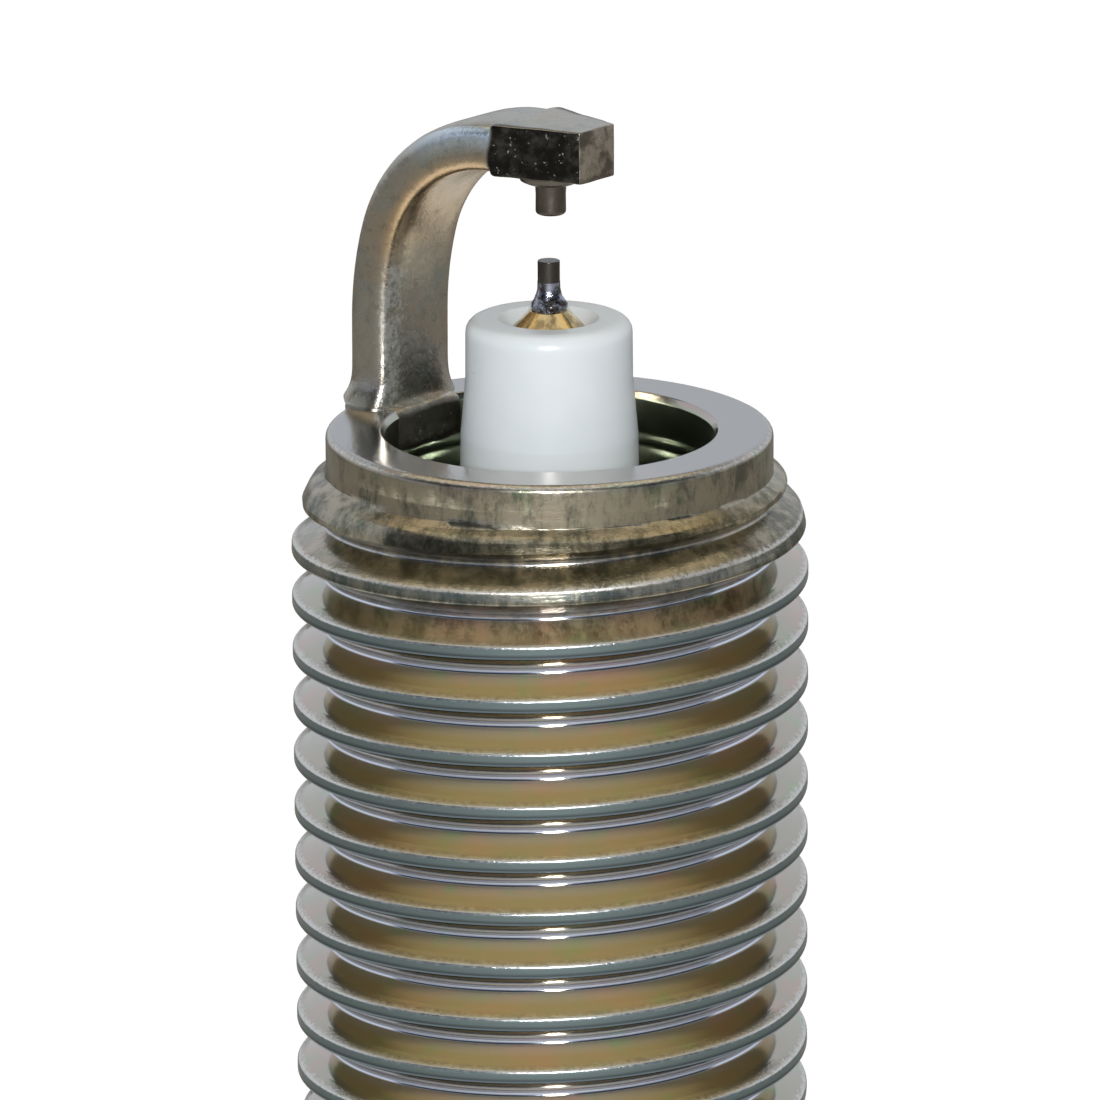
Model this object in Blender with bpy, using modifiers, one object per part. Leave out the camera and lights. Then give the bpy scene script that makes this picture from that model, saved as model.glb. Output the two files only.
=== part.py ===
"""Long-reach spark plug with an M12 x 1.25 thread, a projected nose and fine-wire electrodes.

Units are metres and +Z is up; the sizes below are in millimetres and pass through MM.
The origin is on the plug's axis, in the plane where the gasket seals on the cylinder head.
The firing end points up (+Z), the terminal points down (-Z), and the ground electrode
stands on the -X side of the shell's rim and reaches over the axis towards +X.
"""

import math

import bmesh
import bpy

MM = 0.001
SEGMENTS = 32            # facets round the shell, the insulator and the rings
FINE_SEGMENTS = 20       # facets round the wires, pins and the terminal nut
FIT = 0.03               # clearance left between two pieces that touch
SHARP_ANGLE = math.radians(35)

# Thread: M12 x 1.25, right-hand, along the reach of the shell.
REACH = 19.0             # from the gasket's sealing plane to the rim of the shell
PITCH = 1.25
CREST_R = 5.93
ROOT_R = 5.18
RIDGE_BASE_R = 5.0       # the ridge starts inside the shell's core, so the union is clean
SUNK_CREST_R = 5.06      # the crest at the ridge's two ends, inside the core
CREST_HALF_WIDTH = 0.08
FLANK_SLOPE = math.tan(math.radians(30))
THREAD_TOP = REACH - 0.83        # height of the crest where the thread starts, under the rim
THREAD_TOP_ANGLE = math.radians(40)
THREAD_BOTTOM = 1.5
RUN_IN_TURNS = 1.8       # turns over which the crest rises to its full height

# Shell: the rim, the shank under the gasket, the flange, the hexagon and the rolled lip.
RIM_R = 5.12
RIM_ROUND = 0.18
BAND_HEIGHT = 1.14       # the plain band between the rim and the first thread
NECK_R = 5.05
FLANGE_TOP = -1.66
FLANGE_R = 8.3
FLANGE_BOTTOM = -4.6
GROOVE_R = 6.95
HEX_TOP = -6.6
HEX_BOTTOM = -13.9
HEX_ACROSS_FLATS = 16.0
HEX_CORNER_R = 9.0
HEX_CORNER_FALL = 0.75   # drop of the chamfer at the hexagon's corners
SHELL_BOTTOM = -15.9
SHELL_ROUND = 1.2
BORE_R = 3.765
BORE_BOTTOM = 8.6
LEDGE_R = 3.10
LEDGE_TOP = 7.9
LEDGE_BOTTOM = 6.95
BARREL_BORE_R = 3.98
BARREL_BORE_TOP = 6.30
BARREL_BORE_BOTTOM = -3.6
WAIST_BORE_R = 5.75
WAIST_BORE_TOP = -4.9
LIP_BORE_R = 5.05

# Insulator, from the nose to the terminal end.
NOSE_TOP = REACH + 2.60
NOSE_TOP_R = 1.895
NOSE_ROUND = 0.72
NOSE_RIM_R = 2.03
NOSE_LIP_R = 1.14
INSULATOR_BORE_R = 0.95
SEAL_BORE_R = 1.98
HEAD_SEAT = 3.6          # where the bore widens for the centre electrode's head
HEAD_SEAT_FALL = 0.75
NOSE_ROOT_R = 2.75
NOSE_ROOT = 8.6
SEAT_R = 2.95
SEAT_TOP = 8.2
SEAT_BOTTOM = 6.55
BARREL_R = 3.90
BARREL_TOP = 5.85
BARREL_BOTTOM = -3.9
WAIST_R = 5.60
WAIST_TOP = -5.2
WAIST_BOTTOM = -10.1
TALC_NECK_R = 4.96
TALC_NECK_TOP = -10.8
HEAD_R = 4.90
RIBS = 5
RIB_PITCH = 2.9
RIB_DEPTH = 0.55
FIRST_RIB = -25.0
INSULATOR_BOTTOM = -42.9
HEAD_ROUND = 0.9

# Centre electrode, its copper core and its welded tip.
ELECTRODE_R = 0.91
ELECTRODE_CONE_TOP = REACH + 2.77
ELECTRODE_CONE_TOP_R = 0.43
ELECTRODE_HEAD_R = 1.7
ELECTRODE_HEAD_BOTTOM = 1.3
CORE_R = 0.5
CORE_TOP = REACH - 1.6
TIP_R = 0.255
TIP_BOTTOM = REACH + 3.42
TIP_TOP = REACH + 3.94
BEAD_PROFILE = ((0.31, 0.51), (0.40, 0.31), (0.42, 0.21))    # radius, height over the cone

# Ground electrode: a bar bent over the axis, with a pad and a pin under its end.
BAR_WIDTH = 2.46
BAR_THICKNESS = 1.2
BAR_CORNER = 0.26
BAR_OUTER_X = -5.10
BAR_LEAN = math.radians(0.4)
BAR_STRAIGHT = 2.0
BAR_EASY_RADIUS = 8.2
BAR_EASY_TURN = math.radians(16.2)
BAR_BEND_RADIUS = 4.1
BAR_END_SLOPE = math.radians(0.2)
BAR_END_X = 1.42
BAR_END_WIDTH = 1.23
BAR_TAPER_START_X = -0.75
PIN_X = 0.07
PIN_R = 0.35
PIN_BOTTOM = REACH + 5.03
PIN_TOP = REACH + 5.74
PAD_R = 0.70
PAD_BOTTOM = REACH + 5.77
PAD_TOP = REACH + 5.95

# Seals inside the insulator, the terminal stud and its nut.
LOWER_SEAL_BOTTOM = -1.4
RESISTOR_BOTTOM = -9.4
UPPER_SEAL_BOTTOM = -12.2
STUD_R = 1.45
STUD_FLANGE_R = 2.9
STUD_FLANGE_BOTTOM = -43.7
STUD_THREAD_R = 1.97
STUD_BOTTOM = -49.0
NUT_R = 3.15
NUT_WAIST_R = 2.7
NUT_BORE_R = 2.05
NUT_TOP = -43.75
NUT_BOTTOM = -50.5
NUT_TOP_ROUND = 0.4
NUT_BOTTOM_ROUND = 0.9
NUT_WAIST_EDGES = (1.5, 2.2, 3.6, 4.3)    # distances down from the nut's top

# Powder seal between the insulator and the rolled lip, and the gasket.
WASHER_OUTER_TOP = 6.29
WASHER_OUTER_BOTTOM = 5.91
WASHER_INNER_TOP = 6.88
WASHER_INNER_BOTTOM = 6.46
PACKING_WIRE_R = 0.33
PACKING_MIDDLE_R = 5.35
LOWER_PACKING_Z = -11.35
TALC_TOP = -11.75
TALC_BOTTOM = -14.0
UPPER_PACKING_Z = -14.38
GASKET_INNER_R = 5.4
GASKET_OUTER_R = 7.9
GASKET_BOTTOM = -1.62
GASKET_SHEET = 0.5


# ---------------------------------------------------------------- tools

def clear_scene():
    """Remove whatever the scene holds, so that the plug stands alone."""
    for obj in list(bpy.data.objects):
        bpy.data.objects.remove(obj, do_unlink=True)


def new_collection(name):
    """A new collection under the scene's own."""
    made = bpy.data.collections.new(name)
    bpy.context.scene.collection.children.link(made)
    return made


def new_material(name, colour, roughness, metallic):
    """A Principled material of one colour."""
    made = bpy.data.materials.new(name)
    made.use_nodes = True
    shader = made.node_tree.nodes["Principled BSDF"]
    shader.inputs["Base Color"].default_value = (*colour, 1.0)
    shader.inputs["Roughness"].default_value = roughness
    shader.inputs["Metallic"].default_value = metallic
    return made


def new_object(name, mesh, collection, material=None):
    """An object at the origin that shows the mesh."""
    obj = bpy.data.objects.new(name, mesh)
    collection.objects.link(obj)
    if material is not None:
        mesh.materials.append(material)
    return obj


def arc(centre_r, centre_z, radius, start, end, steps):
    """Points on a round stretch of an outline; angles in degrees from +r towards +z."""
    angles = [math.radians(start + (end - start) * i / steps) for i in range(steps + 1)]
    return [(centre_r + radius * math.cos(a), centre_z + radius * math.sin(a)) for a in angles]


def turned(name, outline, collection, material=None, segments=SEGMENTS):
    """A piece turned about Z from its (radius, height) outline.

    The outline runs down the outer side. It starts and ends on the axis, or it is a closed
    ring whose last point joins its first.
    """
    mesh = bpy.data.meshes.new(name)
    count = len(outline)
    edges = [(i, i + 1) for i in range(count - 1)]
    if outline[0][0] > 0:
        edges.append((count - 1, 0))
    mesh.from_pydata([(r * MM, 0.0, z * MM) for r, z in outline], edges, [])
    obj = new_object(name, mesh, collection, material)
    screw = obj.modifiers.new("turn", "SCREW")
    screw.axis = "Z"
    screw.steps = segments
    screw.render_steps = segments
    screw.use_merge_vertices = True
    screw.merge_threshold = 1e-6
    return obj


def combine(obj, other, operation):
    """Join or cut the object with another one by an exact Boolean."""
    other.display_type = "WIRE"
    other.hide_render = True
    change = obj.modifiers.new(other.name, "BOOLEAN")
    change.operation = operation
    change.solver = "EXACT"
    change.object = other


def settle(obj):
    """Apply the object's modifiers, and shade it smooth between its sharp edges."""
    depsgraph = bpy.context.evaluated_depsgraph_get()
    mesh = bpy.data.meshes.new_from_object(obj.evaluated_get(depsgraph))
    obj.modifiers.clear()
    obj.data = mesh
    mesh.name = obj.name
    mesh.shade_smooth()
    mesh.set_sharp_from_angle(angle=SHARP_ANGLE)


def guide_from_active(name, guides):
    """Name the object just added and keep it with the guides only."""
    obj = bpy.context.active_object
    obj.name = name
    for owner in list(obj.users_collection):
        owner.objects.unlink(obj)
    guides.objects.link(obj)
    return obj


def loft(name, rings, collection, material=None):
    """A closed solid through a row of rings with the same number of points each."""
    work = bmesh.new()
    rows = [[work.verts.new([c * MM for c in point]) for point in ring] for ring in rings]
    size = len(rings[0])
    for row, following in zip(rows, rows[1:]):
        for i in range(size):
            j = (i + 1) % size
            work.faces.new((row[i], row[j], following[j], following[i]))
    work.faces.new(list(reversed(rows[0])))
    work.faces.new(rows[-1])
    bmesh.ops.recalc_face_normals(work, faces=work.faces)
    mesh = bpy.data.meshes.new(name)
    work.to_mesh(mesh)
    work.free()
    return new_object(name, mesh, collection, material)


# ---------------------------------------------------------------- shell

def thread_ridge(collection):
    """The thread as one ridge wound down the shank, sinking into the core at both ends."""
    turns = (THREAD_TOP - THREAD_BOTTOM) / PITCH
    stations = round(turns * SEGMENTS)
    rings = []
    for i in range(stations + 1):
        turn = i / SEGMENTS
        angle = THREAD_TOP_ANGLE - 2 * math.pi * turn
        height = THREAD_TOP - PITCH * turn
        from_end = min(turn, stations / SEGMENTS - turn) / RUN_IN_TURNS
        rise = 1 - (1 - min(from_end, 1.0)) ** 2.2
        crest = SUNK_CREST_R + (CREST_R - SUNK_CREST_R) * rise
        base_half = CREST_HALF_WIDTH + (crest - RIDGE_BASE_R) * FLANK_SLOPE
        section = ((RIDGE_BASE_R, -base_half), (crest, -CREST_HALF_WIDTH),
                   (crest, CREST_HALF_WIDTH), (RIDGE_BASE_R, base_half))
        rings.append([(r * math.cos(angle), r * math.sin(angle), height + z)
                      for r, z in section])
    return loft("thread_ridge", rings, collection)


def hexagon(guides):
    """The wrench hexagon, with its corners turned down to a chamfered barrel."""
    height = HEX_TOP - HEX_BOTTOM
    bpy.ops.mesh.primitive_cylinder_add(
        vertices=6, radius=HEX_ACROSS_FLATS / math.sqrt(3) * MM, depth=height * MM,
        location=(0, 0, (HEX_TOP + HEX_BOTTOM) / 2 * MM))
    prism = guide_from_active("hexagon", guides)
    flat_r = HEX_ACROSS_FLATS / 2
    barrel = turned("hexagon_barrel", [
        (0, HEX_TOP + 1), (flat_r, HEX_TOP + 1), (flat_r, HEX_TOP),
        (HEX_CORNER_R, HEX_TOP - HEX_CORNER_FALL),
        (HEX_CORNER_R, HEX_BOTTOM + HEX_CORNER_FALL),
        (flat_r, HEX_BOTTOM), (flat_r, HEX_BOTTOM - 1), (0, HEX_BOTTOM - 1)], guides)
    combine(prism, barrel, "INTERSECT")
    return prism


def build_shell(parts, guides, material):
    """The steel shell: threaded shank, flange, shrink groove, hexagon and rolled lip."""
    chamfer = 0.5
    outside = [(0, REACH)]
    outside += arc(RIM_R - RIM_ROUND, REACH - RIM_ROUND, RIM_ROUND, 90, 0, 3)
    outside += [
        (RIM_R, REACH - BAND_HEIGHT), (ROOT_R, REACH - BAND_HEIGHT - 0.1),
        (ROOT_R, THREAD_BOTTOM - 0.1),
        (NECK_R, THREAD_BOTTOM - 0.3), (NECK_R, FLANGE_TOP), (FLANGE_R - 0.3, FLANGE_TOP),
        (FLANGE_R, FLANGE_TOP - 0.3), (FLANGE_R, FLANGE_BOTTOM + chamfer),
        (FLANGE_R - chamfer, FLANGE_BOTTOM), (GROOVE_R, FLANGE_BOTTOM - 0.2),
        (GROOVE_R, HEX_TOP + 0.3), (GROOVE_R + 0.35, HEX_TOP - 0.02),
        (GROOVE_R + 0.35, HEX_BOTTOM + 0.02), (GROOVE_R, HEX_BOTTOM - 0.3)]
    outside += arc(GROOVE_R - SHELL_ROUND, SHELL_BOTTOM + SHELL_ROUND, SHELL_ROUND, 0, -90, 4)
    outside.append((0, SHELL_BOTTOM))
    shell = turned("shell", outside, parts, material)
    combine(shell, hexagon(guides), "UNION")
    bore = turned("shell_bore", [
        (0, REACH + 1), (BORE_R, REACH + 1), (BORE_R, BORE_BOTTOM), (LEDGE_R, LEDGE_TOP),
        (LEDGE_R, LEDGE_BOTTOM), (BARREL_BORE_R, BARREL_BORE_TOP),
        (BARREL_BORE_R, BARREL_BORE_BOTTOM), (WAIST_BORE_R, WAIST_BORE_TOP),
        (WAIST_BORE_R, SHELL_BOTTOM + SHELL_ROUND), (LIP_BORE_R + 0.25, SHELL_BOTTOM + 0.9),
        (LIP_BORE_R, SHELL_BOTTOM + 0.6), (LIP_BORE_R, SHELL_BOTTOM - 1),
        (0, SHELL_BOTTOM - 1)], guides)
    combine(shell, bore, "DIFFERENCE")
    combine(shell, thread_ridge(guides), "UNION")


def build_gasket(parts, material):
    """The captive gasket: one steel sheet folded double, with the fold on the outside."""
    fold = -GASKET_BOTTOM / 2
    middle_r = GASKET_OUTER_R - fold
    inner_fold = fold - GASKET_SHEET
    outline = arc(middle_r, -fold, fold, 90, -90, 5)
    outline += [(GASKET_INNER_R + 0.15, GASKET_BOTTOM), (GASKET_INNER_R, GASKET_BOTTOM + 0.15),
                (GASKET_INNER_R, GASKET_BOTTOM + GASKET_SHEET)]
    outline += arc(middle_r, -fold, inner_fold, -90, 90, 3)
    outline += [(GASKET_INNER_R, -GASKET_SHEET), (GASKET_INNER_R, -0.15),
                (GASKET_INNER_R + 0.15, 0)]
    turned("gasket", outline, parts, material)


# ---------------------------------------------------------------- insulator and its seals

def build_insulator(parts, material):
    """The alumina insulator: thin nose, seat, barrel, waist and the ribbed terminal end."""
    outline = arc(NOSE_TOP_R - NOSE_ROUND, NOSE_TOP - NOSE_ROUND, NOSE_ROUND, 90, 0, 5)
    outline += [
        (NOSE_RIM_R, REACH), (NOSE_RIM_R + 0.04, REACH - 2), (NOSE_ROOT_R, NOSE_ROOT),
        (SEAT_R, SEAT_TOP), (SEAT_R, SEAT_BOTTOM), (BARREL_R, BARREL_TOP),
        (BARREL_R, BARREL_BOTTOM), (WAIST_R, WAIST_TOP), (WAIST_R, WAIST_BOTTOM),
        (TALC_NECK_R, TALC_NECK_TOP), (TALC_NECK_R, SHELL_BOTTOM), (HEAD_R, SHELL_BOTTOM - 0.6)]
    half = RIB_PITCH / 2
    for rib in range(RIBS):
        top = FIRST_RIB - rib * RIB_PITCH
        outline += [(HEAD_R, top), (HEAD_R - RIB_DEPTH, top - 0.6 * half),
                    (HEAD_R - RIB_DEPTH, top - half), (HEAD_R, top - 1.5 * half)]
    outline.append((HEAD_R, INSULATOR_BOTTOM + 1.6))
    outline += arc(HEAD_R - HEAD_ROUND, INSULATOR_BOTTOM + HEAD_ROUND, HEAD_ROUND, 0, -90, 4)
    outline += [
        (SEAL_BORE_R + 0.2, INSULATOR_BOTTOM), (SEAL_BORE_R, INSULATOR_BOTTOM + 0.2),
        (SEAL_BORE_R, HEAD_SEAT - HEAD_SEAT_FALL), (INSULATOR_BORE_R, HEAD_SEAT),
        (INSULATOR_BORE_R, NOSE_TOP - 0.34), (INSULATOR_BORE_R + 0.06, NOSE_TOP - 0.12)]
    turned("insulator", outline, parts, material)


def build_shell_seals(parts, steel, talc):
    """The seat washer in the shank, and the two packing rings with talc between them."""
    turned("inner_seat_washer", [
        (LEDGE_R + 0.04, WASHER_INNER_TOP), (BARREL_R + 0.04, WASHER_OUTER_TOP),
        (BARREL_R + 0.04, WASHER_OUTER_BOTTOM), (LEDGE_R + 0.04, WASHER_INNER_BOTTOM)],
        parts, steel)
    for name, height in (("lower_packing_ring", LOWER_PACKING_Z),
                         ("upper_packing_ring", UPPER_PACKING_Z)):
        ring = arc(PACKING_MIDDLE_R, height, PACKING_WIRE_R, 90, -270, 6)[:-1]
        turned(name, ring, parts, steel)
    inner, outer = TALC_NECK_R + FIT, WAIST_BORE_R - FIT - 0.02
    turned("talc_seal", [(inner, TALC_TOP), (outer, TALC_TOP), (outer, TALC_BOTTOM),
                         (inner, TALC_BOTTOM)], parts, talc)


def build_bore_fillings(parts, glass, resistor_glass):
    """The two conductive glass seals and the resistor between electrode head and stud."""
    radius = SEAL_BORE_R - FIT - 0.02
    layers = (("lower_glass_seal", ELECTRODE_HEAD_BOTTOM, LOWER_SEAL_BOTTOM, glass),
              ("resistor", LOWER_SEAL_BOTTOM, RESISTOR_BOTTOM, resistor_glass),
              ("upper_glass_seal", RESISTOR_BOTTOM, UPPER_SEAL_BOTTOM, glass))
    for name, top, bottom, material in layers:
        turned(name, [(0, top - FIT), (radius, top - FIT), (radius, bottom), (0, bottom)],
               parts, material, FINE_SEGMENTS)


# ---------------------------------------------------------------- electrodes

def build_centre_electrode(parts, nickel, copper, noble):
    """The nickel electrode with its copper core, the weld bead and the fine tip."""
    head_top = HEAD_SEAT - 0.04
    turned("centre_electrode", [
        (0, ELECTRODE_CONE_TOP), (ELECTRODE_CONE_TOP_R, ELECTRODE_CONE_TOP),
        (ELECTRODE_R, ELECTRODE_CONE_TOP - 0.47), (ELECTRODE_R, head_top),
        (ELECTRODE_HEAD_R, head_top - HEAD_SEAT_FALL), (ELECTRODE_HEAD_R, ELECTRODE_HEAD_BOTTOM),
        (CORE_R, ELECTRODE_HEAD_BOTTOM), (CORE_R, CORE_TOP), (0, CORE_TOP + 0.3)],
        parts, nickel, FINE_SEGMENTS)
    core_r = CORE_R - FIT
    turned("centre_electrode_core", [
        (0, CORE_TOP + 0.24), (core_r, CORE_TOP - 0.04), (core_r, ELECTRODE_HEAD_BOTTOM),
        (0, ELECTRODE_HEAD_BOTTOM)], parts, copper, FINE_SEGMENTS)
    bead_bottom = ELECTRODE_CONE_TOP + FIT / 2
    bead = [(0, TIP_BOTTOM - FIT / 2), (TIP_R + 0.015, TIP_BOTTOM - FIT / 2)]
    bead += [(radius, ELECTRODE_CONE_TOP + height) for radius, height in BEAD_PROFILE]
    bead += [(BEAD_PROFILE[1][0], bead_bottom), (0, bead_bottom)]
    turned("centre_tip_weld", bead, parts, nickel, FINE_SEGMENTS)
    turned("centre_tip", [
        (0, TIP_TOP), (TIP_R - 0.02, TIP_TOP), (TIP_R, TIP_TOP - 0.02), (TIP_R, TIP_BOTTOM),
        (0, TIP_BOTTOM)], parts, noble, FINE_SEGMENTS)


def bar_outline():
    """Points and headings of the bar's outer side, from the rim to the end over the axis."""
    x, z = BAR_OUTER_X, REACH + FIT
    heading = math.pi / 2 - BAR_LEAN
    stations = [(x, z, heading)]
    x += BAR_STRAIGHT / math.tan(heading)
    z += BAR_STRAIGHT
    stations.append((x, z, heading))
    bends = ((BAR_EASY_RADIUS, BAR_EASY_TURN, 3),
             (BAR_BEND_RADIUS, heading - BAR_EASY_TURN - BAR_END_SLOPE, 10))
    for radius, turn, steps in bends:
        centre_x = x + radius * math.sin(heading)
        centre_z = z - radius * math.cos(heading)
        for _ in range(steps):
            heading -= turn / steps
            x = centre_x - radius * math.sin(heading)
            z = centre_z + radius * math.cos(heading)
            stations.append((x, z, heading))
    run = BAR_END_X - x
    stations.append((BAR_END_X, z + run * math.tan(heading), heading))
    return stations


def bar_section():
    """The bar's rounded rectangular section as (across, inward) points."""
    half, deep, corner = BAR_WIDTH / 2, BAR_THICKNESS, BAR_CORNER
    points = []
    for across, inward, start in ((half - corner, corner, -90), (half - corner, deep - corner, 0),
                                  (corner - half, deep - corner, 90), (corner - half, corner, 180)):
        points += arc(across, inward, corner, start, start + 90, 3)
    return points


def build_ground_electrode(parts, guides, nickel, noble):
    """The bent ground electrode, tapered at its end, and the pad and pin under it."""
    section = bar_section()
    rings = []
    for x, z, heading in bar_outline():
        inward_x, inward_z = math.sin(heading), -math.cos(heading)
        rings.append([(x + inward * inward_x, across, z + inward * inward_z)
                      for across, inward in section])
    bar = loft("ground_electrode", rings, parts, nickel)
    taper = math.atan2((BAR_WIDTH - BAR_END_WIDTH) / 2, BAR_END_X - BAR_TAPER_START_X)
    for side, name in ((1, "taper_left"), (-1, "taper_right")):
        size = 4.0
        reach = size / 2
        edge_x, edge_y = (BAR_TAPER_START_X + BAR_END_X) / 2, (BAR_WIDTH + BAR_END_WIDTH) / 4
        bpy.ops.mesh.primitive_cube_add(size=1, location=(
            (edge_x + reach * math.sin(taper)) * MM, side * (edge_y + reach * math.cos(taper)) * MM,
            (REACH + 6.6) * MM), rotation=(0, 0, -side * taper))
        block = guide_from_active(name, guides)
        block.scale = (size * MM, size * MM, size * MM)
        combine(bar, block, "DIFFERENCE")
    turned_pieces = (
        ("ground_tip_pad", [(0, PAD_TOP), (PAD_R - 0.05, PAD_TOP), (PAD_R, PAD_TOP - 0.05),
                            (PAD_R - 0.06, PAD_BOTTOM), (0, PAD_BOTTOM)], nickel),
        ("ground_tip", [(0, PIN_TOP), (PIN_R, PIN_TOP), (PIN_R, PIN_BOTTOM + 0.08),
                        (PIN_R - 0.08, PIN_BOTTOM), (0, PIN_BOTTOM)], noble))
    for name, outline, material in turned_pieces:
        piece = turned(name, outline, parts, material, FINE_SEGMENTS)
        piece.location.x = PIN_X * MM


# ---------------------------------------------------------------- terminal

def build_terminal(parts, steel, plated):
    """The stud sealed in the insulator, and the nut screwed on its end."""
    turned("terminal_stud", [
        (0, UPPER_SEAL_BOTTOM - FIT), (STUD_R, UPPER_SEAL_BOTTOM - FIT),
        (STUD_R, INSULATOR_BOTTOM + 1.2), (SEAL_BORE_R - 0.08, INSULATOR_BOTTOM + 0.8),
        (SEAL_BORE_R - 0.08, INSULATOR_BOTTOM - FIT), (STUD_FLANGE_R, INSULATOR_BOTTOM - FIT),
        (STUD_FLANGE_R, STUD_FLANGE_BOTTOM), (STUD_THREAD_R, STUD_FLANGE_BOTTOM),
        (STUD_THREAD_R, STUD_BOTTOM + 0.3), (STUD_THREAD_R - 0.3, STUD_BOTTOM),
        (0, STUD_BOTTOM)], parts, steel, FINE_SEGMENTS)
    outline = [(0, STUD_BOTTOM - 0.45), (NUT_BORE_R, STUD_BOTTOM - 0.1), (NUT_BORE_R, NUT_TOP)]
    outline += arc(NUT_R - NUT_TOP_ROUND, NUT_TOP - NUT_TOP_ROUND, NUT_TOP_ROUND, 90, 0, 3)
    radii = (NUT_R, NUT_WAIST_R, NUT_WAIST_R, NUT_R)
    outline += [(radius, NUT_TOP - down) for radius, down in zip(radii, NUT_WAIST_EDGES)]
    outline += arc(NUT_R - NUT_BOTTOM_ROUND, NUT_BOTTOM + NUT_BOTTOM_ROUND, NUT_BOTTOM_ROUND,
                   0, -90, 4)
    outline.append((0, NUT_BOTTOM))
    turned("terminal_nut", outline, parts, plated, FINE_SEGMENTS)


def main():
    """Build the plug's pieces and settle their meshes."""
    clear_scene()
    parts = new_collection("spark_plug")
    guides = new_collection("guides")
    plated = new_material("plated_steel", (0.55, 0.52, 0.46), 0.22, 1.0)
    steel = new_material("bare_steel", (0.50, 0.49, 0.47), 0.35, 1.0)
    nickel = new_material("nickel_alloy", (0.45, 0.42, 0.38), 0.30, 1.0)
    noble = new_material("noble_metal", (0.32, 0.31, 0.32), 0.25, 1.0)
    copper = new_material("copper", (0.80, 0.42, 0.27), 0.30, 1.0)
    ceramic = new_material("glazed_alumina", (0.93, 0.94, 0.94), 0.12, 0.0)
    glass = new_material("seal_glass", (0.24, 0.20, 0.18), 0.45, 0.0)
    resistor_glass = new_material("resistor_glass", (0.08, 0.08, 0.09), 0.50, 0.0)
    talc = new_material("talc", (0.88, 0.87, 0.83), 0.85, 0.0)

    build_shell(parts, guides, plated)
    build_gasket(parts, plated)
    build_insulator(parts, ceramic)
    build_shell_seals(parts, steel, talc)
    build_bore_fillings(parts, glass, resistor_glass)
    build_centre_electrode(parts, nickel, copper, noble)
    build_ground_electrode(parts, guides, nickel, noble)
    build_terminal(parts, steel, plated)

    for obj in list(parts.objects):
        settle(obj)
    for guide in list(guides.objects):
        bpy.data.objects.remove(guide, do_unlink=True)
    bpy.data.collections.remove(guides)


main()
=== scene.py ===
"""Looks of a long-reach spark plug, firing end up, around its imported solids.

Lengths inside the classes are in millimetres; MM turns them into the scene's metres. The frame is
the solids' own: +Z runs along the axis to the firing end, the gasket seals at z = 0, and the
ground electrode stands on the -X side of the rim.
"""

import logging
import math
from dataclasses import dataclass, field
from enum import Enum

import bpy
import bmesh
import numpy as np
from mathutils import Matrix, Vector


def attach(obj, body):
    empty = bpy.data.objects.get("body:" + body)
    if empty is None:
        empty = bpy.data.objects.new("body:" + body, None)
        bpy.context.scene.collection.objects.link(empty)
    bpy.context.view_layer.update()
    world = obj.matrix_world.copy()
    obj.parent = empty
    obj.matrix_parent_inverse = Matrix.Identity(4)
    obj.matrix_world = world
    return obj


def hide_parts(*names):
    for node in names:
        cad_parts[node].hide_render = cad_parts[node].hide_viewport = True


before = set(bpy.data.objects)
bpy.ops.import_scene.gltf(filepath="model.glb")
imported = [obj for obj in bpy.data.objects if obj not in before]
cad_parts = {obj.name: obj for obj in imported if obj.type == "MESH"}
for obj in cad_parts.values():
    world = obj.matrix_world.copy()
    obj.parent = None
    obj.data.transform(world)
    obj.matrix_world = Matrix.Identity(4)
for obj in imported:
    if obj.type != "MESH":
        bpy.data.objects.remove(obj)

Array = np.ndarray
Socket = bpy.types.NodeSocket
log = logging.getLogger("spark_plug")

MM = 0.001
TAU = 2.0 * math.pi
COLUMNS = 144                # points round a turned surface, one each 2.5 degrees
MERGE = 2.0e-7               # metres within which seams and poles are joined
SHARP = math.radians(40.0)   # edges that fold more than this are not smoothed over
FLANK_RISE = math.sqrt(3.0)  # radius gained for each millimetre along a 60 degree flank
SHANK_PITCH = 1.25
VIEW_SIDE = math.radians(-50.0)  # angle from +X round Z of the side that the camera faces


class Place(Enum):
    """Heights of the plug's main planes, in millimetres."""

    RIM = 19.0
    THREAD_END = 1.5
    FLANGE_TOP = -1.66
    FLANGE_BOTTOM = -4.6
    HEX_TOP = -6.6
    HEX_BOTTOM = -13.9
    SHELL_BOTTOM = -15.9
    INSULATOR_BOTTOM = -42.9
    STUD_BOTTOM = -49.0
    FLOOR = -56.2


RIM = Place.RIM.value


# ---------------------------------------------------------------- surfaces

def smooth_step(value: Array, low: float, high: float) -> Array:
    """Rise from 0 at low to 1 at high along 3t^2 - 2t^3.

    Args:
        value: Where to read the step.
        low: Value at which the step starts.
        high: Value at which the step ends.

    Returns:
        The step's height for each value.
    """
    t = np.clip((np.asarray(value, float) - low) / (high - low), 0.0, 1.0)
    return t * t * (3.0 - 2.0 * t)


def soft_least(first: Array, second: Array, soft: float) -> Array:
    """The lesser of two values, (a + b - sqrt((a - b)^2 + s^2)) / 2, rounded where they cross.

    Args:
        first: One value, a.
        second: The other value, b.
        soft: Width s of the rounding.

    Returns:
        The softened lesser value.
    """
    return (first + second - np.sqrt((first - second) ** 2 + soft ** 2)) / 2.0


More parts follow.
